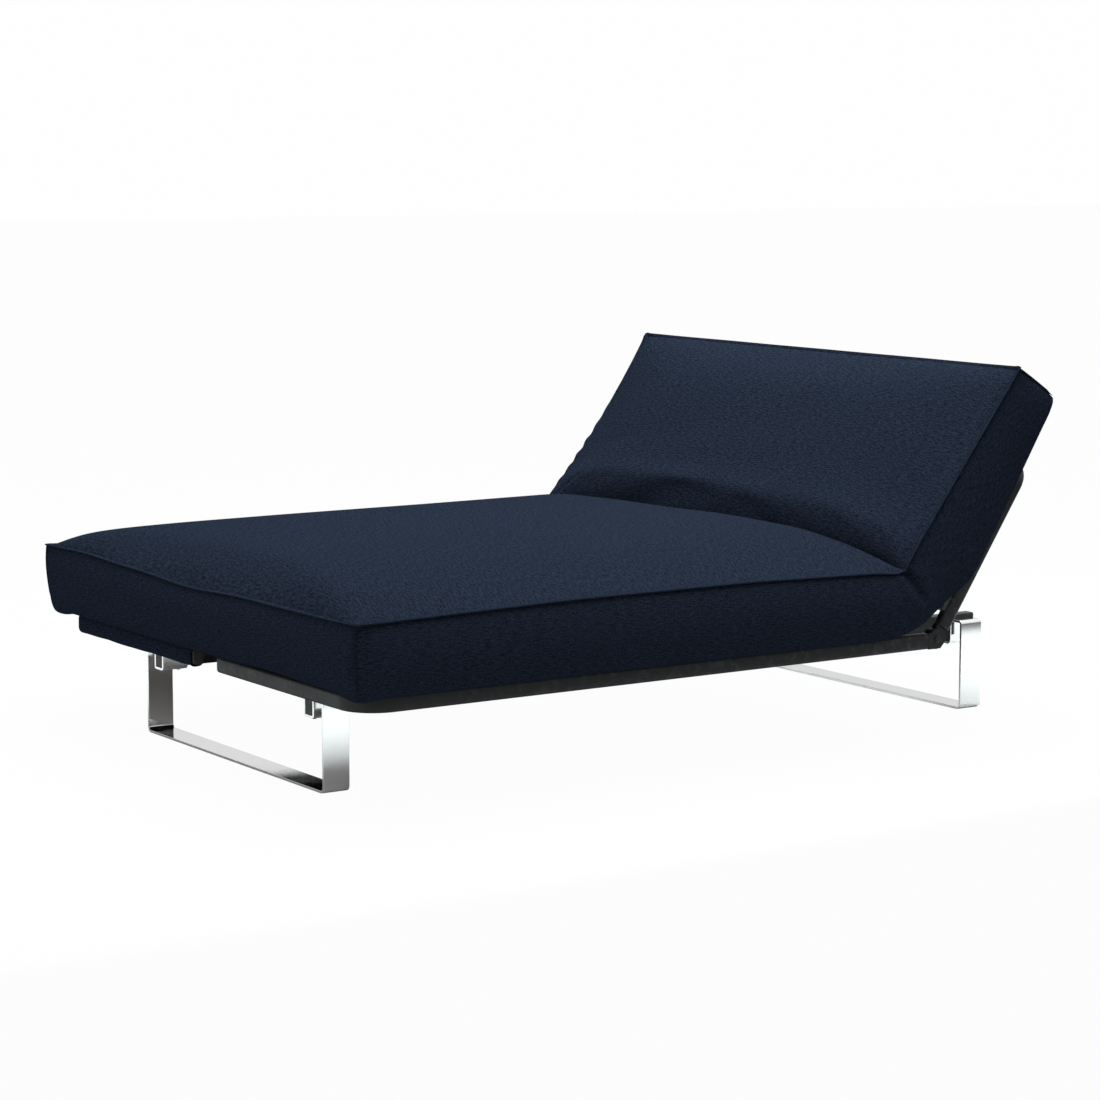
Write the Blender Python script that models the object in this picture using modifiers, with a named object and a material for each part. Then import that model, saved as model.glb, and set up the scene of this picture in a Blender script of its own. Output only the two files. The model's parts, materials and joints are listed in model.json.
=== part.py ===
"""Futon sofa bed in its lounger position, as separate solids.

Metres, +Z up, +X to the right, +Y from the foot end to the head end. The origin is on the floor, at the
middle of the box around the whole object. The back and everything on it is modelled lying flat, in the
frame of an empty on the hinge axis, and that empty is turned to the back's angle.
"""

import math

import bmesh
import bpy
from mathutils import Euler, Matrix, Vector

# ---------------------------------------------------------------- driving dimensions
CLEAR = 0.0003  # gap between pieces that touch
RUNNING = 0.0004  # extra room around a piece that slides or turns

# sled legs: one bent band each
BAND_WIDTH = 0.060
BAND_THICK = 0.0055
LEG_SPAN = 0.794  # outside of the two uprights
CRADLE_DEPTH = 0.0085  # the rails' top face above the legs' top
FRONT_LEG = 0.0966  # foot face of the mattress to the band's front edge
REAR_LEG = 1.7735
FLOOR_BEND = 0.010  # bend radii at the middle of the band
CRADLE_BEND = 0.005

# base rails
RAIL_SPACING = 0.676
RAIL_WIDTH = 0.030
RAIL_HEIGHT = 0.062
RAIL_WALL = 0.002
RAIL_CORNER = 0.004
RAIL_OVERHANG = 0.0145  # past the rear leg
CAP_FLANGE = 0.0025
CAP_TO_BOLT = 0.001  # room left between a cap and the nearest bolt
CRADLE_BOLT_SPACING = 0.034
CRADLE_BOLT = 0.003  # shank radius
CRADLE_BOLT_HEAD = 0.0055
CRADLE_BOLT_HEAD_HEIGHT = 0.0032
CRADLE_BOLT_GRIP = 0.006  # thread past the rail's wall

# seat and back tubes
FRAME_WIDTH = 1.276  # outside of the side tubes
TUBE_HEIGHT = 0.035
TUBE_WIDTH = 0.024
TUBE_CORNER = 0.008
TUBE_WALL = 0.002
FOOT_TUBE = 0.041  # foot face of the mattress to the foot tube's front
SEAT_BEND = 0.070
BACK_BEND = 0.050
RIGHT_TUBE_END = 0.047  # the foot tube is split: where each half stops
LEFT_TUBE_END = -0.060
PLUG_FLANGE = 0.003
PLUG_DEPTH = 0.014

# hinge
HINGE = 1.494  # foot face of the mattress to the hinge axis
HINGE_HEIGHT = 0.223
TUBE_DROP = 0.0035  # tube centre below the axis
BACK_ANGLE = 56.0  # degrees above flat
BACK_FLAT = 0.0
BACK_STEEPEST = 78.0
BACK_STOPS = (BACK_FLAT, 20.0, 38.0, BACK_ANGLE, BACK_STEEPEST)
HINGE_GAP = 0.001  # the arm's round end to the seat tube's end
CHEEK_THICK = 0.0045
CHEEK_MARGIN = 0.0015  # the cheek's round end past the tube's lower face
CHEEK_END = -22.0  # degrees, where the cheek's round end stops
ARM_MARGIN = 0.002
ARM_ROUND = (38.0, 290.0)  # degrees, the arm's round end
ARM_HEEL = 0.030
ARM_START = 0.030  # axis to the back tube's end
ARM_TONGUE = 0.045
TONGUE_ROOM = 0.001
PIN_RADIUS = 0.005
PIN_HEAD = 0.0085
PIN_HEAD_HEIGHT = 0.0025
PIN_HEAD_FLAT = 0.6  # share of the head's radius, and of its height where the side ends
PIN_HEAD_SIDE = 0.4
NOTCH_HALF = 0.0022
NOTCH_DEPTH = 0.0028

# latch in the seat tube's end
HOUSING_DEPTH = 0.040
SLOT_DEPTH = 0.0275
BLOCK_MARGIN = 0.0003  # the block past its nose
BLOCK_HALF_WIDTH = 0.0070
BLOCK_LENGTH = 0.012
NOSE_HALF_HEIGHT = 0.0016
NOSE_LENGTH = 0.0024
SPRING_RADIUS = 0.0034
SPRING_WIRE = 0.0005
SPRING_TURNS = 4

# cross members and slats
CROSSBAR_HEIGHT = 0.020
CROSSBAR_WIDTH = 0.030
CROSSBAR_WALL = 0.002
CROSSBAR_DROP = 0.0012  # below the tubes' upper face
FRONT_CROSSBAR = 0.300  # foot face of the mattress to the bar's middle
REAR_CROSSBAR = 0.079  # the bar's middle to the hinge axis
CROSSBAR_BOLT = 0.004
CROSSBAR_BOLT_HEAD = 0.008
CROSSBAR_BOLT_HEAD_HEIGHT = 0.0025
CROSSBAR_BOLT_GRIP = 0.008
BOLT_HEAD_FLAT = 0.7  # share of the head's radius, and of its height where the side ends
BOLT_HEAD_SIDE = 0.5
BACK_CROSSBAR = 0.200  # hinge axis to the crossbar's middle
SLAT_WIDTH = 0.068
SLAT_THICK = 0.008
BACK_SLAT_RISE = 0.006
SOCKET_FLOOR = 0.003
SOCKET_LIP = 0.004
SOCKET_RAIL_WIDTH = 0.036
SOCKET_RAIL_INSET = 0.0035  # in from the tube's outer face
SEAT_SLATS = 8
FIRST_SEAT_SLAT = 0.165
LAST_SEAT_SLAT = 0.174  # to the hinge axis
BACK_SLATS = 3
FIRST_BACK_SLAT = 0.100
BACK_SLAT_PITCH = 0.135

# tubes' length past the hinge, mattress
BACK_TUBE_REACH = 0.455  # hinge axis to the back tube's outer end
MATTRESS_WIDTH = 1.400
FOOT_TOP = 0.392
FOLD_TOP = 0.404
SEAT_TURN = 0.149  # the underside turns up this far from the hinge axis
TURN_UP = 0.0355
FOLD_SEAT_ANGLE = 140.0  # the seat's rear face, a ray from the hinge axis, degrees above +Y
FOLD_MARGIN = 3.5  # degrees left between the two cushions with the back at its steepest
BACK_FRONT_ROOT = 0.256  # hinge axis to the back cushion's lower front edge
BACK_TOP_LENGTH = 0.588  # along the back, to the cushion's top front edge
BACK_TOP_FRONT = 0.192  # out from the back's line, front face at the top
BACK_TOP_REAR = 0.068
BACK_TOP_SLOPE = 0.0104  # how much shorter the rear face is
BACK_REAR_ROOT = (0.086, 0.0345)
BACK_HEEL = (0.0475, 0.0765)
CUSHION_EDGE = 0.016
CUSHION_EDGE_STEPS = 2
CUSHION_EDGE_ANGLE = 40.0  # degrees, edges sharper than this are softened
SEAT_SWELL = 0.055  # how far the middle of the seat stands over its seams
BACK_SWELL = 0.030
SWELL_ALONG = ((0.05, 0.55), (0.14, 0.88), (0.35, 1.0), (0.65, 1.0), (0.86, 0.88), (0.95, 0.55))
SWELL_ACROSS = ((0.0, 0.0), (0.04, 0.40), (0.12, 0.72), (0.28, 0.95))

# fabric sleeve on the left half of the foot tube
SLEEVE_GROWTH = 0.0035
SLEEVE_WALL = 0.0028
SLEEVE_END = -0.066
SLEEVE_PAST_CORNER = 0.002

# how finely round shapes are faceted
SECTION_STEPS = 3  # per corner of a tube's section
RAIL_STEPS = 2
RAIL_HOLLOW_STEPS = 1
BEND_STEPS = 8
BAND_STEPS = 4
HOLE_SIDES = 16
BOLT_HOLE_SIDES = 10
BOLT_SIDES = 8
RIVET_SIDES = 14
CHEEK_STEPS = 14
ARM_STEPS = 6
ARM_STEP_ANGLE = 15.0
SPRING_STEPS = 8
WIRE_STEPS = 2
SLAT_STEPS = 8
MERGE = 0.00001  # points nearer than this are one

# colours: red, green, blue
CHROME = (0.75, 0.76, 0.78)
BLACK_STEEL = (0.020, 0.021, 0.023)
ZINC = (0.45, 0.46, 0.48)
BLACK_PLASTIC = (0.015, 0.015, 0.016)
BIRCH = (0.62, 0.47, 0.30)
NAVY = (0.016, 0.028, 0.060)

# ---------------------------------------------------------------- derived places
RAIL_REAR = REAR_LEG + BAND_WIDTH + RAIL_OVERHANG
FOOT_Y = -RAIL_REAR / 2  # the mattress's foot face
RAIL_X = RAIL_SPACING / 2
CAP_PLUG = (BAND_WIDTH - CRADLE_BOLT_SPACING) / 2 - CRADLE_BOLT - CAP_FLANGE - CAP_TO_BOLT
TUBE_Z = HINGE_HEIGHT - TUBE_DROP
TUBE_X = (FRAME_WIDTH - TUBE_WIDTH) / 2
CHEEK_RADIUS = TUBE_HEIGHT / 2 + TUBE_DROP + CHEEK_MARGIN
ARM_RADIUS = TUBE_HEIGHT / 2 + TUBE_DROP + ARM_MARGIN
TUBE_END = HINGE - ARM_RADIUS - HINGE_GAP
HINGE_Y = FOOT_Y + HINGE
CROSSBAR_BOTTOM = TUBE_Z + TUBE_HEIGHT / 2 - CROSSBAR_DROP - CROSSBAR_HEIGHT
SEAT_CROSSBARS = {"front": FRONT_CROSSBAR, "rear": HINGE - REAR_CROSSBAR}
RAIL_TOP = CROSSBAR_BOTTOM - CLEAR
RAIL_BOTTOM = RAIL_TOP - RAIL_HEIGHT
LEG_TOP = RAIL_TOP - CRADLE_DEPTH
SEAT_SLAT_PITCH = (HINGE - LAST_SEAT_SLAT - FIRST_SEAT_SLAT) / (SEAT_SLATS - 1)
SLAT_BOTTOM = TUBE_HEIGHT / 2 + CLEAR + SOCKET_FLOOR + CLEAR  # above the tube's centre
SLAT_TOP = SLAT_BOTTOM + SLAT_THICK
CUSHION_BOTTOM = TUBE_Z + SLAT_TOP + CLEAR
SLAT_HALF = FRAME_WIDTH / 2 - SOCKET_RAIL_INSET - SOCKET_LIP - CLEAR
ARM_HALF_WIDTH = TUBE_WIDTH / 2 - CHEEK_THICK - CLEAR
HOUSING_HALF_WIDTH = TUBE_WIDTH / 2 - TUBE_WALL - CLEAR
HOUSING_HALF_HEIGHT = TUBE_HEIGHT / 2 - TUBE_CORNER  # the flat part of the tube's side
BLOCK_HALF_HEIGHT = TUBE_DROP + NOSE_HALF_HEIGHT + BLOCK_MARGIN

SIDES = {"left": -1, "right": 1}
YZ_PLANE = Euler((math.radians(90), 0, math.radians(90)))  # drawn x, y become Y, Z, thickness along X
XZ_PLANE = Euler((math.radians(90), 0, 0))  # drawn x, y become X, Z, thickness along Y


# ---------------------------------------------------------------- scene and materials
def clear_scene():
    for obj in list(bpy.data.objects):
        bpy.data.objects.remove(obj, do_unlink=True)


def new_collection(name):
    collection = bpy.data.collections.new(name)
    bpy.context.scene.collection.children.link(collection)
    return collection


clear_scene()
PARTS = new_collection("futon_sofa_bed")
CUTTERS = new_collection("cutters")


def material(name, colour, roughness, metallic=0.0):
    made = bpy.data.materials.new(name)
    made.use_nodes = True
    shader = made.node_tree.nodes["Principled BSDF"]
    shader.inputs["Base Color"].default_value = (*colour, 1)
    shader.inputs["Roughness"].default_value = roughness
    shader.inputs["Metallic"].default_value = metallic
    made.diffuse_color = (*colour, 1)
    return made


MATERIALS = {
    "chrome": material("chrome", CHROME, 0.08, 1.0),
    "black_steel": material("black_steel", BLACK_STEEL, 0.45),
    "zinc": material("zinc", ZINC, 0.35, 1.0),
    "plastic": material("plastic", BLACK_PLASTIC, 0.55),
    "wood": material("wood", BIRCH, 0.5),
    "fabric": material("fabric", NAVY, 0.95),
}


def add(name, data, finish, location=(0, 0, 0), rotation=None, parent=None):
    """An object for one sub-part, in the parts' collection."""
    obj = bpy.data.objects.new(name, data)
    obj.location = location
    if rotation:
        obj.rotation_euler = rotation
    if parent:
        obj.parent = parent
    data.materials.append(MATERIALS[finish])
    PARTS.objects.link(obj)
    return obj


def guide(obj):
    """Keep a cutter or a profile out of the model."""
    for collection in list(obj.users_collection):
        collection.objects.unlink(obj)
    CUTTERS.objects.link(obj)
    obj.hide_render = True
    obj.display_type = "WIRE"
    return obj


def pivot(name, location):
    empty = bpy.data.objects.new(name, None)
    empty.location = location
    PARTS.objects.link(empty)
    return empty


# ---------------------------------------------------------------- outlines and paths
def rounded(points, radii, steps):
    """The open path through points, each inner corner rounded to its radius."""
    path = [Vector(points[0])]
    for before, corner, after, radius in zip(points, points[1:], points[2:], radii):
        into = (Vector(corner) - Vector(before)).normalized()
        out = (Vector(after) - Vector(corner)).normalized()
        turn = math.acos(into.dot(out))
        side = (out - into * into.dot(out)).normalized()
        start = Vector(corner) - into * radius * math.tan(turn / 2)
        for k in range(steps + 1):
            angle = turn * k / steps
            path.append(start + radius * (into * math.sin(angle) + side * (1 - math.cos(angle))))
    path.append(Vector(points[-1]))
    return path


def arc(centre, radius, start, end, steps):
    """Points on a circle, from one angle to another in degrees."""
    angles = [math.radians(start + (end - start) * k / steps) for k in range(steps + 1)]
    return [(centre[0] + radius * math.cos(a), centre[1] + radius * math.sin(a)) for a in angles]


def circle(centre, radius):
    return arc(centre, radius, 0, 360, HOLE_SIDES)[:-1]


def rounded_rectangle(width, height, radius, steps=SECTION_STEPS):
    """A closed rectangle with round corners."""
    outline = []
    for sx, sy, start in ((1, 1, 0), (-1, 1, 90), (-1, -1, 180), (1, -1, 270)):
        corner = (sx * (width / 2 - radius), sy * (height / 2 - radius))
        outline += arc(corner, radius, start, start + 90, steps)
    return outline


def rectangle(width, height):
    return [(sx * width / 2, sy * height / 2) for sx, sy in ((1, 1), (-1, 1), (-1, -1), (1, -1))]


def strip(path, thickness):
    """The closed outline of a band of the given thickness that follows a flat path."""
    left, right = [], []
    for k, point in enumerate(path):
        before = path[k] - path[k - 1] if k else path[1] - path[0]
        after = path[k + 1] - path[k] if k + 1 < len(path) else before
        normals = [Vector((-d.y, d.x)).normalized() for d in (before, after)]
        middle = (normals[0] + normals[1]).normalized()
        reach = thickness / 2 / middle.dot(normals[0])
        left.append(point + middle * reach)
        right.append(point - middle * reach)
    return left + right[::-1]


# ---------------------------------------------------------------- shapes
def plate(name, outline, thickness, finish, holes=(), plane=YZ_PLANE, **placing):
    """A flat outline, with any holes, made into a solid of one thickness."""
    curve = bpy.data.curves.new(name, "CURVE")
    curve.dimensions = "2D"
    curve.fill_mode = "BOTH"
    curve.extrude = thickness / 2
    for ring in (outline, *holes):
        spline = curve.splines.new("POLY")
        spline.points.add(len(ring) - 1)
        for point, (x, y) in zip(spline.points, ring):
            point.co = (x, y, 0, 1)
        spline.use_cyclic_u = True
    return add(name, curve, finish, rotation=plane, **placing)


def profile(name, width, height, radius):
    """The section that a tube's path carries."""
    curve = bpy.data.curves.new(name, "CURVE")
    curve.dimensions = "2D"
    spline = curve.splines.new("POLY")
    ring = rounded_rectangle(width, height, radius)
    spline.points.add(len(ring) - 1)
    for point, (x, y) in zip(spline.points, ring):
        point.co = (x, y, 0, 1)
    spline.use_cyclic_u = True
    return guide(bpy.data.objects.new(name, curve))


def tube(name, path, section, wall, finish, **placing):
    """A hollow tube of the given section along a path in a level plane."""
    curve = bpy.data.curves.new(name, "CURVE")
    curve.dimensions = "3D"
    curve.twist_mode = "Z_UP"
    curve.bevel_mode = "OBJECT"
    curve.bevel_object = section
    curve.use_fill_caps = False
    spline = curve.splines.new("POLY")
    spline.points.add(len(path) - 1)
    for point, (x, y) in zip(spline.points, path):
        point.co = (x, y, 0, 1)
    spline.use_smooth = True
    obj = add(name, curve, finish, **placing)
    shell = obj.modifiers.new("Wall", "SOLIDIFY")
    shell.thickness = wall
    shell.offset = 1
    return obj


def coil(name, radius, wire, turns, length, finish, **placing):
    """A compression spring along Y, from its own origin."""
    curve = bpy.data.curves.new(name, "CURVE")
    curve.dimensions = "3D"
    curve.bevel_depth = wire
    curve.bevel_resolution = WIRE_STEPS
    curve.use_fill_caps = True
    spline = curve.splines.new("POLY")
    count = turns * SPRING_STEPS
    spline.points.add(count)
    for k, point in enumerate(spline.points):
        angle = math.tau * k / SPRING_STEPS
        point.co = (radius * math.cos(angle), length * k / count, radius * math.sin(angle), 1)
    spline.use_smooth = True
    return add(name, curve, finish, **placing)


def box_mesh(name, size, location=(0, 0, 0)):
    mesh = bpy.data.meshes.new(name)
    shape = bmesh.new()
    bmesh.ops.create_cube(shape, size=1, matrix=Matrix.Translation(location) @ Matrix.Diagonal((*size, 1)))
    shape.to_mesh(mesh)
    shape.free()
    return mesh


def meshed(obj):
    """Make a curve or a modified object into a plain mesh object of the same name and place."""
    bpy.context.view_layer.update()
    evaluated = obj.evaluated_get(bpy.context.evaluated_depsgraph_get())
    mesh = bpy.data.meshes.new_from_object(evaluated)
    shape = bmesh.new()
    shape.from_mesh(mesh)
    bmesh.ops.remove_doubles(shape, verts=shape.verts, dist=MERGE)
    shape.to_mesh(mesh)
    shape.free()
    name = obj.name
    matrix = obj.matrix_world.copy()
    bpy.data.objects.remove(obj, do_unlink=True)
    solid = bpy.data.objects.new(name, mesh)
    solid.matrix_world = matrix
    PARTS.objects.link(solid)
    return solid


def drill(obj, radius, centres, half_length):
    """Cut upright round holes through an object, at centres in the world."""
    mesh = bpy.data.meshes.new(obj.name + "_drill")
    shape = bmesh.new()
    for centre in centres:
        bmesh.ops.create_cone(
            shape, cap_ends=True, segments=BOLT_HOLE_SIDES, radius1=radius, radius2=radius,
            depth=2 * half_length, matrix=Matrix.Translation(centre),
        )
    shape.to_mesh(mesh)
    shape.free()
    cutter = guide(bpy.data.objects.new(obj.name + "_drill", mesh))
    cut = obj.modifiers.new("Holes", "BOOLEAN")
    cut.operation = "DIFFERENCE"
    cut.solver = "EXACT"
    cut.object = cutter
    return obj


def turned(name, points, finish, steps, **placing):
    """A round solid about its own Z axis, from a profile that runs down its outer side."""
    mesh = bpy.data.meshes.new(name)
    mesh.from_pydata([(r, 0, z) for r, z in points], [(k, k + 1) for k in range(len(points) - 1)], [])
    obj = add(name, mesh, finish, **placing)
    screw = obj.modifiers.new("Turn", "SCREW")
    screw.steps = steps
    screw.render_steps = steps
    screw.use_merge_vertices = True
    screw.merge_threshold = MERGE
    screw.use_smooth_shade = False
    return obj


def bolt(name, shank, length, head, head_height, **placing):
    """A round-headed bolt: the head's underside is at z 0 and the shank points down."""
    points = [
        (0, head_height), (head * BOLT_HEAD_FLAT, head_height), (head, head_height * BOLT_HEAD_SIDE),
        (head, 0), (shank, 0), (shank, -length), (0, -length),
    ]
    return turned(name, points, "zinc", BOLT_SIDES, **placing)


# ---------------------------------------------------------------- base
def cradle_bolt_places(leg):
    middle = FOOT_Y + leg + BAND_WIDTH / 2
    half = CRADLE_BOLT_SPACING / 2
    return [(side * RAIL_X, middle + step, RAIL_BOTTOM) for side in (-1, 1) for step in (-half, half)]


def sled(name, leg):
    """One bent band: a floor bar, two uprights and a cradle for each base rail."""
    half = BAND_THICK / 2
    inner = RAIL_X - RAIL_WIDTH / 2 - CLEAR - half
    outer = RAIL_X + RAIL_WIDTH / 2 + CLEAR + half
    bottom = RAIL_BOTTOM - CLEAR - half
    upright = LEG_SPAN / 2 - half
    right = [(upright, LEG_TOP - half), (outer, LEG_TOP - half), (outer, bottom), (inner, bottom)]
    lip = (inner, LEG_TOP - BAND_THICK)
    corners = [(upright, half)] + right + [lip]
    points = [(-x, z) for x, z in reversed(corners)] + corners
    bends = [CRADLE_BEND] * 4 + [FLOOR_BEND] * 2 + [CRADLE_BEND] * 4
    outline = strip(rounded(points, bends, BAND_STEPS), BAND_THICK)
    middle = FOOT_Y + leg + BAND_WIDTH / 2
    band = plate(name, outline, BAND_WIDTH, "chrome", plane=XZ_PLANE, location=(0, middle, 0))
    drill(meshed(band), CRADLE_BOLT + CLEAR, cradle_bolt_places(leg), BAND_THICK * 2)


def cradle_bolts(end, leg):
    """Bolts from below, through the cradle into the rail."""
    below = BAND_THICK + 2 * CLEAR
    length = below + RAIL_WALL + CRADLE_BOLT_GRIP
    for k, (x, y, z) in enumerate(cradle_bolt_places(leg)):
        name = f"{end}_cradle_bolt_{k + 1}"
        bolt(
            name, CRADLE_BOLT, length, CRADLE_BOLT_HEAD, CRADLE_BOLT_HEAD_HEIGHT,
            location=(x, y, z - below), rotation=Euler((math.pi, 0, 0)),
        )


def rail_hollow(grow=0.0):
    return rounded_rectangle(
        RAIL_WIDTH - 2 * RAIL_WALL + 2 * grow, RAIL_HEIGHT - 2 * RAIL_WALL + 2 * grow,
        RAIL_CORNER - RAIL_WALL + grow, RAIL_HOLLOW_STEPS,
    )


def base_rail(side_name, side):
    """A rectangular tube on both legs, with a cap in each end."""
    section = rounded_rectangle(RAIL_WIDTH, RAIL_HEIGHT, RAIL_CORNER, RAIL_STEPS)
    front, rear = FRONT_LEG + CAP_FLANGE + CLEAR, RAIL_REAR - CAP_FLANGE - CLEAR
    middle = (side * RAIL_X, FOOT_Y + (front + rear) / 2, RAIL_BOTTOM + RAIL_HEIGHT / 2)
    rail = plate(
        "base_rail_" + side_name, section, rear - front, "black_steel", holes=[rail_hollow()],
        plane=XZ_PLANE, location=middle,
    )
    rail = meshed(rail)
    under = [p for leg in (FRONT_LEG, REAR_LEG) for p in cradle_bolt_places(leg) if p[0] * side > 0]
    drill(rail, CRADLE_BOLT + CLEAR, under, 2 * RAIL_WALL)
    over = [(side * RAIL_X, FOOT_Y + y, RAIL_TOP) for y in SEAT_CROSSBARS.values()]
    drill(rail, CROSSBAR_BOLT + CLEAR, over, 2 * RAIL_WALL)
    for end, y, out in (("front", FRONT_LEG, -1), ("rear", RAIL_REAR, 1)):
        name = f"rail_cap_{end}_{side_name}"
        flange = -out * CAP_FLANGE / 2
        cap = plate(name, section, CAP_FLANGE, "plastic", plane=XZ_PLANE)
        plug_shape = rail_hollow(grow=-CLEAR)
        plug = plate(name + "_plug", plug_shape, CAP_PLUG + CAP_FLANGE, "plastic", plane=XZ_PLANE)
        plug.location.y = -out * CAP_PLUG / 2
        cap = joined(cap, plug)
        cap.location = (middle[0], FOOT_Y + y + flange, middle[2])


def joined(obj, other):
    """Union of two overlapping solids; the second is used up."""
    solid, tool = meshed(obj), meshed(other)
    join = solid.modifiers.new("Join", "BOOLEAN")
    join.operation = "UNION"
    join.solver = "EXACT"
    join.object = guide(tool)
    solid = meshed(solid)
    bpy.data.objects.remove(tool, do_unlink=True)
    return solid


def crossbar(name, place, parent=None):
    """A rectangular tube across the frame, between the side tubes."""
    section = rectangle(CROSSBAR_WIDTH, CROSSBAR_HEIGHT)
    hollow = rectangle(CROSSBAR_WIDTH - 2 * CROSSBAR_WALL, CROSSBAR_HEIGHT - 2 * CROSSBAR_WALL)
    length = FRAME_WIDTH - 2 * TUBE_WIDTH - 2 * CLEAR
    return plate(name, section, length, "black_steel", holes=[hollow], location=place, parent=parent)


def seat_crossbar(name, y):
    place = (0, FOOT_Y + y, CROSSBAR_BOTTOM + CROSSBAR_HEIGHT / 2)
    holes = [(side * RAIL_X, place[1], place[2]) for side in (-1, 1)]
    drill(meshed(crossbar(name, place)), CROSSBAR_BOLT + CLEAR, holes, CROSSBAR_HEIGHT)


def crossbar_bolts(place, y):
    """Bolts from above, through the crossbar into each rail."""
    top = CROSSBAR_BOTTOM + CROSSBAR_HEIGHT + CLEAR
    length = CROSSBAR_HEIGHT + 2 * CLEAR + RAIL_WALL + CROSSBAR_BOLT_GRIP
    for side_name, side in SIDES.items():
        name = f"crossbar_bolt_{place}_{side_name}"
        at = (side * RAIL_X, FOOT_Y + y, top)
        bolt(name, CROSSBAR_BOLT, length, CROSSBAR_BOLT_HEAD, CROSSBAR_BOLT_HEAD_HEIGHT, location=at)


# ---------------------------------------------------------------- seat frame
def seat_tube_path(side, end):
    """From the split in the foot tube, round the corner, to the hinge."""
    foot = FOOT_Y + FOOT_TUBE + TUBE_WIDTH / 2
    points = [(end, foot), (side * TUBE_X, foot), (side * TUBE_X, FOOT_Y + TUBE_END)]
    return rounded(points, [SEAT_BEND], BEND_STEPS)


def seat_tube(side_name, side, section):
    end = RIGHT_TUBE_END if side > 0 else LEFT_TUBE_END
    path = seat_tube_path(side, end + side * (PLUG_FLANGE + CLEAR))
    tube("seat_tube_" + side_name, path, section, TUBE_WALL, "black_steel", location=(0, 0, TUBE_Z))


def tube_plug(side_name, side):
    """A plug in the open end of the foot tube."""
    end = RIGHT_TUBE_END if side > 0 else LEFT_TUBE_END
    name = "seat_tube_plug_" + side_name
    flange = plate(name, rounded_rectangle(TUBE_WIDTH, TUBE_HEIGHT, TUBE_CORNER), PLUG_FLANGE, "plastic")
    inset = TUBE_WALL + CLEAR
    inner = rounded_rectangle(TUBE_WIDTH - 2 * inset, TUBE_HEIGHT - 2 * inset, TUBE_CORNER - inset)
    stem = plate(name + "_stem", inner, PLUG_DEPTH + PLUG_FLANGE, "plastic")
    stem.location.x = side * PLUG_DEPTH / 2
    plug = joined(flange, stem)
    plug.location = (end + side * PLUG_FLANGE / 2, FOOT_Y + FOOT_TUBE + TUBE_WIDTH / 2, TUBE_Z)


def slat_rail(name, side, rows, **placing):
    """The plastic strip on a side tube, with an open socket for the end of each slat. Its origin is over
    the middle of the frame, at the tube's centre height."""
    height = SLAT_TOP - TUBE_HEIGHT / 2 - 2 * CLEAR
    x = side * (FRAME_WIDTH / 2 - SOCKET_RAIL_INSET - SOCKET_RAIL_WIDTH / 2)
    z = TUBE_HEIGHT / 2 + CLEAR + height / 2
    margin = SLAT_WIDTH / 2 + CLEAR + SOCKET_LIP
    length = rows[-1] - rows[0] + 2 * margin
    middle = (rows[0] + rows[-1]) / 2
    body = box_mesh(name, (SOCKET_RAIL_WIDTH, length, height), (x, middle, z))
    rail = add(name, body, "plastic", **placing)
    sockets = bpy.data.meshes.new(name + "_sockets")
    shape = bmesh.new()
    room = Matrix.Diagonal((SOCKET_RAIL_WIDTH, SLAT_WIDTH + 2 * CLEAR, height, 1))
    for row in rows:
        place = Matrix.Translation((x - side * SOCKET_LIP, row, z + SOCKET_FLOOR))
        bmesh.ops.create_cube(shape, size=1, matrix=place @ room)
    shape.to_mesh(sockets)
    shape.free()
    cutter = guide(add(name + "_sockets", sockets, "plastic", **placing))
    cut = rail.modifiers.new("Sockets", "BOOLEAN")
    cut.operation = "DIFFERENCE"
    cut.solver = "EXACT"
    cut.object = cutter


def slat(name, rise, location, parent=None):
    """A wooden strip across the frame, bowed upwards by its rise."""
    mesh = box_mesh(name, (2 * SLAT_HALF, SLAT_WIDTH, SLAT_THICK), (0, 0, SLAT_BOTTOM + SLAT_THICK / 2))
    if rise:
        shape = bmesh.new()
        shape.from_mesh(mesh)
        long_edges = [e for e in shape.edges if abs(e.verts[0].co.x - e.verts[1].co.x) > SLAT_HALF]
        bmesh.ops.subdivide_edges(shape, edges=long_edges, cuts=SLAT_STEPS - 1, use_grid_fill=True)
        for vertex in shape.verts:
            vertex.co.z += rise * (1 - (vertex.co.x / SLAT_HALF) ** 2)
        shape.to_mesh(mesh)
        shape.free()
    return add(name, mesh, "wood", location=location, parent=parent)


# ---------------------------------------------------------------- hinge
def cheek_outline():
    """The seat side's hinge plate: as tall as the tube, round over the pivot, chamfered below."""
    axis = (HINGE_Y, HINGE_HEIGHT)
    front = FOOT_Y + TUBE_END + CLEAR
    low, high = TUBE_Z - TUBE_HEIGHT / 2, TUBE_Z + TUBE_HEIGHT / 2
    meet = 180 - math.degrees(math.asin((high - HINGE_HEIGHT) / CHEEK_RADIUS))
    rear_low = math.sqrt(ARM_RADIUS**2 - (HINGE_HEIGHT - low) ** 2)
    round_end = arc(axis, CHEEK_RADIUS, meet, CHEEK_END, CHEEK_STEPS)
    return [(front, low), (front, high), *round_end, (axis[0] + rear_low, low)]


def hinge_plates(side_name, side):
    hole = circle((HINGE_Y, HINGE_HEIGHT), PIN_RADIUS + CLEAR)
    offset = TUBE_WIDTH / 2 - CHEEK_THICK / 2
    for layer, out in (("outer", 1), ("inner", -1)):
        x = side * (TUBE_X + out * offset)
        name = f"hinge_{layer}_plate_{side_name}"
        plate(name, cheek_outline(), CHEEK_THICK, "black_steel", holes=[hole], location=(x, 0, 0))


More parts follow.
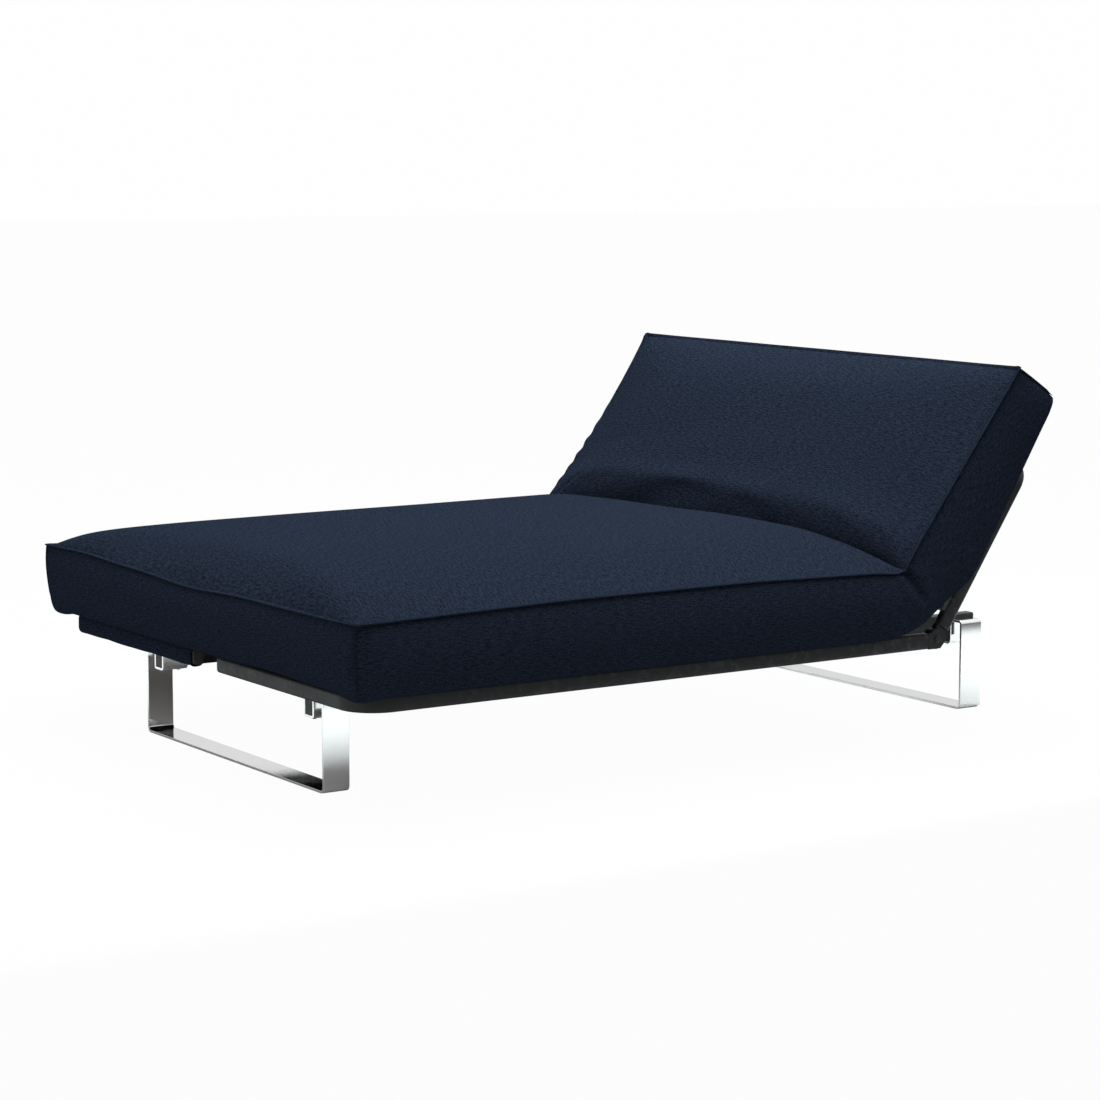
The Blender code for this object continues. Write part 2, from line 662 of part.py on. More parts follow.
def hinge_rivet(side_name, side):
    """The pivot: a rivet through both cheeks and the arm, headed at both ends."""
    half = TUBE_WIDTH / 2 + CLEAR
    head = [(0, half + PIN_HEAD_HEIGHT), (PIN_HEAD * PIN_HEAD_FLAT, half + PIN_HEAD_HEIGHT)]
    head += [(PIN_HEAD, half + PIN_HEAD_HEIGHT * PIN_HEAD_SIDE), (PIN_HEAD, half), (PIN_RADIUS, half)]
    points = head + [(r, -z) for r, z in reversed(head)]
    place = (side * TUBE_X, HINGE_Y, HINGE_HEIGHT)
    turn = Euler((0, math.radians(90), 0))
    turned("hinge_rivet_" + side_name, points, "black_steel", RIVET_SIDES, location=place, rotation=turn)


def notched_arc(start, end):
    """The arm's round end, with a notch that faces the latch at each stop of the back."""
    half = math.degrees(NOTCH_HALF / ARM_RADIUS)
    notches = sorted(180 - stop for stop in BACK_STOPS)
    outline, angle = [], start
    for middle in notches:
        steps = max(1, round((middle - half - angle) / ARM_STEP_ANGLE))
        outline += arc((0, 0), ARM_RADIUS, angle, middle - half, steps)
        outline += arc((0, 0), ARM_RADIUS - NOTCH_DEPTH, middle - half, middle + half, 1)
        angle = middle + half
    return outline + arc((0, 0), ARM_RADIUS, angle, end, ARM_STEPS)


def hinge_arm(side_name, side, back):
    """The back side of the hinge: a tongue inside the back tube and a round, notched end."""
    room = TUBE_WALL + CLEAR
    tongue = TUBE_HEIGHT / 2 - room - TONGUE_ROOM
    high, low = -TUBE_DROP + TUBE_HEIGHT / 2, -TUBE_DROP - TUBE_HEIGHT / 2
    step = ARM_START - CLEAR
    end = ARM_START + ARM_TONGUE
    outline = [(end, -TUBE_DROP - tongue), (end, -TUBE_DROP + tongue), (step, -TUBE_DROP + tongue)]
    outline += [(step, high)] + notched_arc(*ARM_ROUND)
    heel = math.radians(-BACK_ANGLE)
    outline += [(ARM_HEEL * math.cos(heel), ARM_HEEL * math.sin(heel)), (step, low)]
    outline += [(step, -TUBE_DROP - tongue)]
    hole = circle((0, 0), PIN_RADIUS + RUNNING)
    place = (side * TUBE_X, 0, 0)
    name = "back_hinge_arm_" + side_name
    plate(name, outline, 2 * ARM_HALF_WIDTH, "black_steel", holes=[hole], location=place, parent=back)


def latch(side_name, side):
    """A block that slides in the end of the seat tube into the arm's notches, and its spring. The block
    is drawn back, just clear of the arm."""
    x = side * TUBE_X
    mouth = FOOT_Y + TUBE_END - CLEAR
    wall = BLOCK_HALF_HEIGHT + CLEAR
    back, floor = mouth - HOUSING_DEPTH, mouth - SLOT_DEPTH
    top = HOUSING_HALF_HEIGHT
    fork = [
        (back, -top), (mouth, -top), (mouth, -wall), (floor, -wall),
        (floor, wall), (mouth, wall), (mouth, top), (back, top),
    ]
    name = "latch_housing_" + side_name
    outline = [(y, z + TUBE_Z) for y, z in fork]
    plate(name, outline, 2 * HOUSING_HALF_WIDTH, "zinc", location=(x, 0, 0))

    tip = HINGE_Y - ARM_RADIUS - RUNNING
    origin = pivot("latch_axis_" + side_name, (x, tip, HINGE_HEIGHT))
    nose, low = NOSE_HALF_HEIGHT, -TUBE_DROP
    shoulder, tail = -NOSE_LENGTH, -NOSE_LENGTH - BLOCK_LENGTH
    outline = [
        (0, -nose), (0, nose), (shoulder, nose), (shoulder, low + BLOCK_HALF_HEIGHT),
        (tail, low + BLOCK_HALF_HEIGHT), (tail, low - BLOCK_HALF_HEIGHT), (shoulder, low - BLOCK_HALF_HEIGHT),
        (shoulder, -nose),
    ]
    plate("latch_block_" + side_name, outline, 2 * BLOCK_HALF_WIDTH, "zinc", parent=origin)

    start = floor + SPRING_WIRE + CLEAR
    length = tip + tail - SPRING_WIRE - CLEAR - start
    name = "latch_spring_" + side_name
    place = (x, start, TUBE_Z)
    coil(name, SPRING_RADIUS, SPRING_WIRE, SPRING_TURNS, length, "zinc", location=place)


# ---------------------------------------------------------------- back
def back_frame(back, section):
    """The U tube, its crossbar, slats and slat rails, lying flat in the hinge's frame. The crossbar
    comes to rest on the base rails when the back is flat."""
    reach = BACK_TUBE_REACH - TUBE_WIDTH / 2
    points = [(-TUBE_X, ARM_START), (-TUBE_X, reach), (TUBE_X, reach), (TUBE_X, ARM_START)]
    path = rounded(points, [BACK_BEND, BACK_BEND], BEND_STEPS)
    tube("back_tube", path, section, TUBE_WALL, "black_steel", location=(0, 0, -TUBE_DROP), parent=back)

    bottom = CROSSBAR_BOTTOM - HINGE_HEIGHT
    crossbar("back_crossbar", (0, BACK_CROSSBAR, bottom + CROSSBAR_HEIGHT / 2), back)

    rows = [FIRST_BACK_SLAT + k * BACK_SLAT_PITCH for k in range(BACK_SLATS)]
    for k, row in enumerate(rows):
        slat(f"back_slat_{k + 1}", BACK_SLAT_RISE, (0, row, -TUBE_DROP), back)
    for side_name, side in SIDES.items():
        slat_rail("back_slat_rail_" + side_name, side, rows, location=(0, 0, -TUBE_DROP), parent=back)


# ---------------------------------------------------------------- mattress
def cushion(name, plain, start, end, swell, **placing):
    """A padded block across the mattress's width. Its outline has plain corners, and then a face from
    start to end that swells outwards in the middle."""
    start, end = Vector(start), Vector(end)
    run = end - start
    out = Vector((run.y, -run.x)).normalized()
    half = MATTRESS_WIDTH / 2
    across = [(share * MATTRESS_WIDTH - half, full) for share, full in SWELL_ACROSS]
    across += [(-x, full) for x, full in reversed(across)]
    rings = []
    for x, full in across:
        face = [start + run * share + out * swell * rise * full for share, rise in SWELL_ALONG]
        rings.append([(x, y, z) for y, z in (*plain, start, *face, end)])
    size = len(rings[0])
    faces = [tuple(range(size)), tuple(range((len(rings) - 1) * size, len(rings) * size))[::-1]]
    for first in range(0, (len(rings) - 1) * size, size):
        for k in range(size):
            after = (k + 1) % size
            faces.append((first + k, first + size + k, first + size + after, first + after))
    mesh = bpy.data.meshes.new(name)
    mesh.from_pydata([point for ring in rings for point in ring], [], faces)
    shape = bmesh.new()
    shape.from_mesh(mesh)
    bmesh.ops.recalc_face_normals(shape, faces=shape.faces)
    shape.to_mesh(mesh)
    shape.free()
    pad = add(name, mesh, "fabric", **placing)
    edge = pad.modifiers.new("Edge", "BEVEL")
    edge.width = CUSHION_EDGE
    edge.segments = CUSHION_EDGE_STEPS
    edge.limit_method = "ANGLE"
    edge.angle_limit = math.radians(CUSHION_EDGE_ANGLE)


def seat_cushion():
    """Flat on the slats; its rear face is a ray from the hinge, so the back can close on it."""
    slope = math.radians(FOLD_SEAT_ANGLE)
    run = math.cos(slope) / math.sin(slope)
    turn_up = FOOT_Y + HINGE + run * (CUSHION_BOTTOM + TURN_UP - HINGE_HEIGHT)
    plain = [
        (FOOT_Y, CUSHION_BOTTOM), (FOOT_Y + HINGE - SEAT_TURN, CUSHION_BOTTOM),
        (turn_up, CUSHION_BOTTOM + TURN_UP),
    ]
    fold = (FOOT_Y + HINGE + run * (FOLD_TOP - HINGE_HEIGHT), FOLD_TOP)
    cushion("seat_cushion", plain, fold, (FOOT_Y, FOOT_TOP), SEAT_SWELL)


def back_cushion(back):
    """Its lower front face is a ray from the hinge, clear of the seat at the steepest stop."""
    fold = FOLD_SEAT_ANGLE - (BACK_STEEPEST - BACK_ANGLE) - FOLD_MARGIN - BACK_ANGLE
    ray = math.radians(fold)
    root = (BACK_FRONT_ROOT * math.cos(ray), BACK_FRONT_ROOT * math.sin(ray))
    plain = [BACK_HEEL, BACK_REAR_ROOT, (BACK_TOP_LENGTH - BACK_TOP_SLOPE, BACK_TOP_REAR)]
    cushion("back_cushion", plain, (BACK_TOP_LENGTH, BACK_TOP_FRONT), root, BACK_SWELL, parent=back)


def foot_sleeve():
    """Fabric round the left half of the foot tube and its corner."""
    section = profile(
        "sleeve_section", TUBE_WIDTH + 2 * SLEEVE_GROWTH, TUBE_HEIGHT + 2 * SLEEVE_GROWTH,
        TUBE_CORNER + SLEEVE_GROWTH,
    )
    path = seat_tube_path(-1, SLEEVE_END)
    path[-1] = path[-2] + Vector((0, SLEEVE_PAST_CORNER))
    tube("foot_sleeve", path, section, SLEEVE_WALL, "fabric", location=(0, 0, TUBE_Z))


# ---------------------------------------------------------------- the whole
def build():
    for name, leg in (("front", FRONT_LEG), ("rear", REAR_LEG)):
        sled(name + "_leg", leg)
        cradle_bolts(name, leg)
    for side_name, side in SIDES.items():
        base_rail(side_name, side)

    section = profile("tube_section", TUBE_WIDTH, TUBE_HEIGHT, TUBE_CORNER)
    seat_rows = [FIRST_SEAT_SLAT + k * SEAT_SLAT_PITCH for k in range(SEAT_SLATS)]
    for side_name, side in SIDES.items():
        seat_tube(side_name, side, section)
        tube_plug(side_name, side)
        slat_rail("seat_slat_rail_" + side_name, side, seat_rows, location=(0, FOOT_Y, TUBE_Z))
    for place, y in SEAT_CROSSBARS.items():
        seat_crossbar("seat_crossbar_" + place, y)
        crossbar_bolts(place, y)
    for k, row in enumerate(seat_rows):
        slat(f"seat_slat_{k + 1}", 0.0, (0, FOOT_Y + row, TUBE_Z))

    back = pivot("back_axis", (0, HINGE_Y, HINGE_HEIGHT))
    for side_name, side in SIDES.items():
        hinge_plates(side_name, side)
        hinge_rivet(side_name, side)
        latch(side_name, side)
        hinge_arm(side_name, side, back)
    back_frame(back, section)
    seat_cushion()
    back_cushion(back)
    foot_sleeve()
    back.rotation_euler.x = math.radians(BACK_ANGLE)
    bpy.context.view_layer.update()


build()
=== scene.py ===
"""Looks of the futon sofa bed: its mattress, fabric sleeve, chrome legs, painted tubes and finishes."""
import json
import math

import bmesh
import bpy
import numpy as np
from mathutils import Euler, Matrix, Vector


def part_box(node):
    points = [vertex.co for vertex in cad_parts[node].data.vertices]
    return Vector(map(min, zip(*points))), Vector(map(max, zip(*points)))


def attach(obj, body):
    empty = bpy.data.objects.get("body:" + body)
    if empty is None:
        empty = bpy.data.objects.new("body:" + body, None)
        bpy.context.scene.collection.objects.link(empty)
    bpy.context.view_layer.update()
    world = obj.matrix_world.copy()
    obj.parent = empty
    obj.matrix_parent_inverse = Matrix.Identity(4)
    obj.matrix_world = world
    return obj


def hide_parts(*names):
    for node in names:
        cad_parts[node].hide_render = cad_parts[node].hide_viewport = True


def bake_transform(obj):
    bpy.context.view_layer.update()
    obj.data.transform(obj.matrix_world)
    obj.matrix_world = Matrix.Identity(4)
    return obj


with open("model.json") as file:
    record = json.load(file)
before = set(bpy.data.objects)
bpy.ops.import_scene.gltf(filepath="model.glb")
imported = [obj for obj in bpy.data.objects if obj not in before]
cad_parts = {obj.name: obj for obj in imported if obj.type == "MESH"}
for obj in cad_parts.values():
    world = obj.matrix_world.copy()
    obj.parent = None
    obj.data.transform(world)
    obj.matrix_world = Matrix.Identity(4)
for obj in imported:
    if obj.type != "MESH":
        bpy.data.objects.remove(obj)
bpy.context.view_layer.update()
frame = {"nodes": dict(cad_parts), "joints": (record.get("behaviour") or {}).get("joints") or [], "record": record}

# ---------------------------------------------------------------- places read from the frame
SEAT_LOW, SEAT_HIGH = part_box("seat_cushion")
RAIL_LOW, RAIL_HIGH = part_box("base_rail_right")
TUBE_LOW, TUBE_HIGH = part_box("seat_tube_right")
LEFT_TUBE_LOW, LEFT_TUBE_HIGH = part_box("seat_tube_left")
SLEEVE_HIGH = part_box("foot_sleeve")[1]
HINGE = Vector(next(j["pos_m"] for j in frame["joints"] if j["name"] == "back_fold"))
FOOT = SEAT_LOW.y
HALF_WIDTH = SEAT_HIGH.x
SEAT_BOTTOM = SEAT_LOW.z
PAD_HEIGHT = SEAT_HIGH.z - SEAT_BOTTOM
TUBE_HEIGHT = TUBE_HIGH.z - TUBE_LOW.z
TUBE_MIDDLE = (TUBE_HIGH.z + TUBE_LOW.z) / 2

# ---------------------------------------------------------------- camera, floor and light
LENS = 100.64  # mm, on a sensor 36 mm wide
CAMERA_PLACE = (5.694, -3.787, 1.304)
CAMERA_DIP = 7.613  # degrees below the horizon
CAMERA_TURN = 56.516  # degrees anticlockwise from looking along +Y
BACKDROP = 0.995  # how white the backdrop is
DIFFUSE_LIGHT = (0.52, 0.80)  # the studio's strength at the horizon and overhead, for matt surfaces
MIRRORED_LIGHT = (0.64, 1.1)  # the same as shiny surfaces mirror it
EVEN_ABOVE = 0.9  # the rise, as a sine, past which the studio is no brighter
FLOOR_REACH = 40
FLOOR_SHADOW = 0.02  # how much of the floor's own shading the camera sees
PAPER = 0.55  # shade of the paper under the object
BEYOND_PAPER = 0.06  # shade of the room's floor past it
PAPER_EDGE = 1.28  # where the paper ends on the right
PAPER_FADE = 0.06

# ---------------------------------------------------------------- colours and cloth
NAVY = (0.0108, 0.0153, 0.0269)
NAVY_DARK = (0.0050, 0.0069, 0.0129)
NAVY_LIGHT = (0.0194, 0.0272, 0.0454)
YARN = 0.0026  # two yarns of the weave
SLUB = (62, 340, 1)  # thick places along the weft: how many a metre, each way
WARP = (400, 90, 1)
PEBBLE = (230, 230, 1)
WEAVE_DEPTH = 0.0024
CAD_EDGE = 0.0006  # rounding of the edges of the CAD's solids

# ---------------------------------------------------------------- sizes of the frame's tubes and bands
CLEAR = 0.0003  # between pieces that touch
BAND_THICK = 0.0055
BAND_BEND = 0.0052
FLOOR_BEND = 0.010
BAND_EDGE = 0.0006  # rounding of the band's edges
TUBE_WIDTH = 0.024
TUBE_WALL = 0.002
TUBE_ROUNDING = 0.008
SEAT_BEND = 0.070
BACK_BEND = 0.050
BACK_ANGLE = math.radians(56.0)
BACK_REACH = 0.455  # from the hinge to the back tube's far side
BACK_START = 0.030  # from the hinge to its ends
LEG_STEPS = 14  # faces round a bend
TUBE_STEPS = 24
BEND_GUARD = 0.0006  # beside a bend, where the flat is held flat

# ---------------------------------------------------------------- sizes of the sleeve
SLEEVE_EASE = 0.0024
SLEEVE_CLOTH = 0.0012
SLEEVE_ROUNDING = 0.0105
SLEEVE_FRONT_BEND = 0.022
SLEEVE_REAR_BEND = 0.055
SLEEVE_BEND_STEPS = 12
SLEEVE_STRAIGHT = 62  # rings along the foot tube
SLEEVE_CORNER = 22  # and round its corner
SLEEVE_FOLDS = ((0.0007, 5.0, 2.2, 31), (0.0006, 14.0, 3.0, 37))  # depth, waves along, round, seed
SLEEVE_SAG = 0.0010
HEM = (0.0009, 0.0009, -0.0004)  # how far the rings at the mouth stand out

# ---------------------------------------------------------------- sizes of the mattress
SPACING = 0.012  # of the cloth's mesh
CREASE_SPACING = 0.005  # of the rows near the fold
BACK_SLOPE = math.radians(52.3)  # of the back's top, over a pad that is thinner at its head
CROWN_HEIGHT = 0.450  # of the seat's crown over the floor, before the cover is filled
CROWN_LEFT_DROP = 0.011
BACK_CROWN = 0.036
SIDE_REACH = 0.42  # how far in from the borders the padding is less than full
FOOT_REACH = 0.11
HEAD_REACH = 0.16
FOLD_REACH = 0.075
FOLD_ROLL = 0.018  # extra fullness of the back just past the fold
BORDER_BULGE = 0.013
BORDER_PULL = 0.006  # how far the seat's borders are drawn in between its corners
END_REACH = 0.10
FOOT_BULGE = 0.012
HEAD_BULGE = 0.004
FULLNESS = 0.8  # the power that makes every swell blunter
TUBE_HANG = 0.010  # how far the underside hangs outside the side tubes
TUBE_LINE = 0.61  # where that begins, from the middle
DART_DEPTH = 0.012
DART_PUFF = 0.005  # the fullness beside a dart
DRAWN_IN = 0.012  # the left edge of the back
DRAWN_DOWN = 0.008
DRAWN_WIDTH = 0.12
GATHER = 0.0026
GATHER_PITCH = 0.047
LOWER_ROUNDING = 0.032
HEAD_ROUNDING = 0.022
CORNER_ROUNDING = 0.045
RELAX_STEPS = 16
PRESSURE = 4.0
MOST_FILL = 0.022  # the furthest that filling moves a point
FILL_FRAMES = 20
WELT_HEIGHT = 0.0055
WELT_HALF = 0.0013
WELT_STRIP = 0.003  # cloth between the lines of the welt's section
WELT_START = 3  # the layer where the corner welts begin, over the rounded bottom
INSET = 3  # rows or columns in from a seam, to tell which way is outward

# where each panel lies on the cloth, in metres along it
UNDER_PANEL, BORDER_PANEL, END_PANEL, WELT_PANEL, TUBE_PANEL = 2, 4, 8, 12, 16


def on_seat(along, height):
    """A point beside the seat: a distance from the foot face and a height over the floor."""
    return np.array((FOOT + along, height))


def on_back(along, out):
    """A point beside the back: a distance from the hinge along it, and one out from it."""
    cos, sin = math.cos(BACK_ANGLE), math.sin(BACK_ANGLE)
    return np.array((HINGE.y + along * cos - out * sin, HINGE.z + along * sin + out * cos))


# ---------------------------------------------------------------- making the studio
def make_camera():
    data = bpy.data.cameras.new("camera")
    data.lens = LENS
    data.sensor_width = 36
    camera = bpy.data.objects.new("camera", data)
    camera.location = CAMERA_PLACE
    camera.rotation_euler = Euler((math.radians(90 - CAMERA_DIP), 0, math.radians(CAMERA_TURN)))
    bpy.context.scene.collection.objects.link(camera)
    bpy.context.scene.camera = camera


def area_light(name, location, target, size, power, colour=(1, 1, 1)):
    data = bpy.data.lights.new(name, "AREA")
    data.shape = "RECTANGLE"
    data.size, data.size_y = size
    data.energy = power
    data.color = colour
    light = bpy.data.objects.new(name, data)
    light.location = location
    light.rotation_euler = (Vector(target) - Vector(location)).to_track_quat("-Z", "Y").to_euler()
    bpy.context.scene.collection.objects.link(light)


def ray_mix(nodes, links, ray, otherwise, seen):
    """A value that is one thing for rays of one kind and another for the rest."""
    path = nodes.new("ShaderNodeLightPath")
    mix = nodes.new("ShaderNodeMix")
    mix.data_type = "FLOAT"
    links.new(path.outputs[ray], mix.inputs[0])
    for socket, value in ((mix.inputs[2], otherwise), (mix.inputs[3], seen)):
        if isinstance(value, float):
            socket.default_value = value
        else:
            links.new(value, socket)
    return mix.outputs[0]


def make_world():
    """A studio that is dim near the horizon and brighter overhead, in front of a white backdrop."""
    world = bpy.data.worlds.new("studio")
    world.use_nodes = True
    bpy.context.scene.world = world
    nodes, links = world.node_tree.nodes, world.node_tree.links
    background = nodes["Background"]
    background.inputs["Color"].default_value = (1, 1, 1, 1)
    place = nodes.new("ShaderNodeTexCoord")
    split = nodes.new("ShaderNodeSeparateXYZ")
    links.new(place.outputs["Generated"], split.inputs[0])
    strengths = []
    for low, high in (DIFFUSE_LIGHT, MIRRORED_LIGHT):
        ramp = nodes.new("ShaderNodeMapRange")
        ramp.inputs["From Max"].default_value = EVEN_ABOVE
        ramp.inputs["To Min"].default_value = low
        ramp.inputs["To Max"].default_value = high
        links.new(split.outputs["Z"], ramp.inputs["Value"])
        strengths.append(ramp.outputs["Result"])
    diffuse, mirrored = strengths
    lit = ray_mix(nodes, links, "Is Diffuse Ray", mirrored, diffuse)
    shown = ray_mix(nodes, links, "Is Camera Ray", lit, BACKDROP)
    links.new(shown, background.inputs["Strength"])


def paper_material():
    """White paper. Seen directly, it and the backdrop are almost one white."""
    paper = bpy.data.materials.new("floor_paper")
    paper.use_nodes = True
    nodes, links = paper.node_tree.nodes, paper.node_tree.links
    matte = nodes["Principled BSDF"]
    matte.inputs["Roughness"].default_value = 0.9
    matte.inputs["Specular IOR Level"].default_value = 0.1
    place = nodes.new("ShaderNodeTexCoord")
    split = nodes.new("ShaderNodeSeparateXYZ")
    links.new(place.outputs["Object"], split.inputs[0])
    edge = nodes.new("ShaderNodeMapRange")
    edge.interpolation_type = "SMOOTHSTEP"
    edge.inputs["From Min"].default_value = PAPER_EDGE - PAPER_FADE
    edge.inputs["From Max"].default_value = PAPER_EDGE + PAPER_FADE
    edge.inputs["To Min"].default_value = PAPER
    edge.inputs["To Max"].default_value = BEYOND_PAPER
    links.new(split.outputs["X"], edge.inputs["Value"])
    links.new(edge.outputs["Result"], matte.inputs["Base Color"])
    glow = nodes.new("ShaderNodeEmission")
    glow.inputs["Strength"].default_value = BACKDROP
    blend = nodes.new("ShaderNodeMixShader")
    links.new(ray_mix(nodes, links, "Is Camera Ray", 0.0, 1.0 - FLOOR_SHADOW), blend.inputs[0])
    links.new(matte.outputs[0], blend.inputs[1])
    links.new(glow.outputs[0], blend.inputs[2])
    links.new(blend.outputs[0], nodes["Material Output"].inputs["Surface"])
    return paper


def make_floor():
    mesh = bpy.data.meshes.new("floor")
    far = FLOOR_REACH
    mesh.from_pydata([(-far, -far, 0), (far, -far, 0), (far, far, 0), (-far, far, 0)], [], [(0, 1, 2, 3)])
    mesh.materials.append(paper_material())
    floor = bpy.data.objects.new("floor", mesh)
    bpy.context.scene.collection.objects.link(floor)


def make_studio():
    bpy.context.scene.view_settings.view_transform = "Standard"
    make_world()
    make_floor()
    area_light("overhead", (0.1, 0.5, 3.6), (0, 0, 0.3), (4.0, 4.0), 300, (0.92, 1.0, 1.0))
    area_light("foot_side", (0.4, -4.2, 2.0), (0, 0, 0.4), (2.5, 1.6), 14)


# ---------------------------------------------------------------- materials
class Shader:
    """A Principled material that is wired up one node at a time."""

    def __init__(self, name, colour, roughness, metallic=0.0):
        self.material = bpy.data.materials.new(name)
        self.material.use_nodes = True
        self.tree = self.material.node_tree
        self.shader = self.tree.nodes["Principled BSDF"]
        self.shader.inputs["Base Color"].default_value = (*colour, 1)
        self.shader.inputs["Roughness"].default_value = roughness
        self.shader.inputs["Metallic"].default_value = metallic
        self.material.diffuse_color = (*colour, 1)

    def node(self, kind, **values):
        made = self.tree.nodes.new("ShaderNode" + kind)
        for key, value in values.items():
            setattr(made, key, value)
        return made

    def link(self, source, target):
        self.tree.links.new(source, target)

    def mapping(self, source, scale):
        made = self.node("Mapping")
        made.inputs["Scale"].default_value = scale
        self.link(source, made.inputs["Vector"])
        return made.outputs["Vector"]

    def position(self, scale=(1, 1, 1)):
        return self.mapping(self.node("TexCoord").outputs["Object"], scale)

    def uv(self, name, scale=(1, 1, 1)):
        made = self.node("UVMap")
        made.uv_map = name
        return self.mapping(made.outputs["UV"], scale)

    def noise(self, vector, scale, detail=2.0, roughness=0.5):
        made = self.node("TexNoise")
        made.inputs["Scale"].default_value = scale
        made.inputs["Detail"].default_value = detail
        made.inputs["Roughness"].default_value = roughness
        self.link(vector, made.inputs["Vector"])
        return made.outputs["Fac"]

    def math(self, operation, a, b=None):
        made = self.node("Math", operation=operation)
        for socket, value in zip(made.inputs, (a, b)):
            if value is None:
                continue
            if isinstance(value, (int, float)):
                socket.default_value = value
            else:
                self.link(value, socket)
        return made.outputs[0]

    def ramp(self, value, low, high, to_low=0.0, to_high=1.0):
        made = self.node("MapRange")
        made.inputs["From Min"].default_value = low
        made.inputs["From Max"].default_value = high
        made.inputs["To Min"].default_value = to_low
        made.inputs["To Max"].default_value = to_high
        self.link(value, made.inputs["Value"])
        return made.outputs["Result"]

    def mix(self, factor, a, b):
        made = self.node("Mix", data_type="RGBA")
        self.link(factor, made.inputs["Factor"])
        for socket, value in ((made.inputs[6], a), (made.inputs[7], b)):
            if isinstance(value, tuple):
                socket.default_value = (*value, 1)
            else:
                self.link(value, socket)
        return made.outputs[2]

    def bump(self, height, distance, strength=1.0):
        made = self.node("Bump")
        made.inputs["Strength"].default_value = strength
        made.inputs["Distance"].default_value = distance
        self.link(height, made.inputs["Height"])
        self.link(made.outputs["Normal"], self.shader.inputs["Normal"])

    def set(self, name, value):
        if isinstance(value, (int, float, tuple)):
            self.shader.inputs[name].default_value = value
        else:
            self.link(value, self.shader.inputs[name])


def weave_material():
    """Navy slub weave: thick and thin yarns each way, with lighter and darker fibres mixed in."""
    made = Shader("navy_weave", NAVY, 0.9)
    cloth = made.uv("weave")
    split = made.node("SeparateXYZ")
    wander = made.noise(made.uv("weave", (18, 60, 1)), 1.0, 3.0)
    made.link(cloth, split.inputs[0])
    across = made.math("ADD", split.outputs["X"], made.math("MULTIPLY", wander, 0.0016))
    along = made.math("ADD", split.outputs["Y"], made.math("MULTIPLY", wander, 0.0011))
    ends = made.math("SINE", made.math("MULTIPLY", across, math.tau / YARN))
    picks = made.math("SINE", made.math("MULTIPLY", along, math.tau / YARN))
    plain = made.math("MULTIPLY", ends, picks)
    slub = made.noise(made.uv("weave", SLUB), 1.0, 3.0, 0.65)
    warp = made.noise(made.uv("weave", WARP), 1.0, 3.0, 0.6)
    pebble = made.noise(made.uv("weave", PEBBLE), 1.0, 3.0, 0.7)
    height = made.math("ADD", made.math("MULTIPLY", plain, 0.22), made.math("MULTIPLY", slub, 0.9))
    height = made.math("ADD", height, made.math("MULTIPLY", warp, 0.6))
    height = made.math("ADD", height, pebble)
    made.bump(height, WEAVE_DEPTH)
    tone = made.math("ADD", made.math("MULTIPLY", slub, 0.5), made.math("MULTIPLY", pebble, 0.5))
    patch = made.ramp(made.noise(made.uv("weave", (7, 7, 1)), 1.0, 3.0), 0.3, 0.7)
    colour = made.mix(made.ramp(tone, 0.42, 0.58), NAVY_DARK, NAVY_LIGHT)
    made.set("Base Color", made.mix(made.math("MULTIPLY", patch, 0.22), colour, NAVY))
    made.set("Roughness", made.ramp(pebble, 0.3, 0.7, 0.80, 0.98))
    made.set("Sheen Weight", 0.012)
    made.set("Sheen Roughness", 0.5)
    made.set("Sheen Tint", (0.55, 0.68, 1.0, 1))
    made.set("Specular IOR Level", 0.0)
    return made.material


def chrome_material():
    """Bright chrome with faint waves and fine polishing lines."""
    made = Shader("polished_chrome", (0.93, 0.935, 0.94), 0.05, 1.0)
    lines = made.noise(made.position((40, 900, 900)), 1.0)
    smear = made.noise(made.position(), 9.0, 3.0)
    made.set("Roughness", made.ramp(smear, 0.35, 0.75, 0.035, 0.085))
    made.bump(made.math("ADD", lines, made.math("MULTIPLY", smear, 2.0)), 0.00004, 0.4)
    return made.material


def paint_material():
    """Black powder coat: a fine orange peel and slightly worn edges."""
    made = Shader("black_powder_coat", (0.010, 0.0105, 0.012), 0.45)
    place = made.position()
    cloud = made.noise(place, 14.0, 4.0)
    edge = made.ramp(made.node("NewGeometry").outputs["Pointiness"], 0.52, 0.60)
    scuff = made.math("MULTIPLY", edge, made.ramp(made.noise(place, 60.0, 3.0), 0.5, 0.7))
    colour = made.mix(cloud, (0.0075, 0.0078, 0.009), (0.012, 0.0125, 0.014))
    made.set("Base Color", made.mix(scuff, colour, (0.035, 0.035, 0.038)))
    made.set("Roughness", made.ramp(cloud, 0.3, 0.7, 0.40, 0.52))
    made.set("Specular IOR Level", 0.25)
    made.bump(made.noise(place, 900.0), 0.00012, 0.35)
    return made.material


def zinc_material():
    """Dull zinc plate, in soft flakes."""
    made = Shader("zinc_plate", (0.47, 0.48, 0.50), 0.3, 1.0)
    place = made.position()
    flake = made.noise(place, 420.0, 3.0)
    made.set("Base Color", made.mix(made.noise(place, 60.0, 3.0), (0.40, 0.41, 0.42), (0.58, 0.58, 0.57)))
    made.set("Roughness", made.ramp(flake, 0.3, 0.7, 0.24, 0.42))
    made.bump(flake, 0.0001, 0.3)
    return made.material


def plastic_material():
    """Black moulded plastic with a fine grain."""
    made = Shader("black_plastic", (0.015, 0.015, 0.016), 0.55)
    place = made.position()
    shade = made.noise(place, 25.0)
    made.set("Base Color", made.mix(shade, (0.012, 0.012, 0.013), (0.021, 0.021, 0.022)))
    made.set("Roughness", made.ramp(shade, 0.3, 0.7, 0.48, 0.62))
    made.bump(made.noise(place, 1400.0), 0.00012, 0.5)
    return made.material


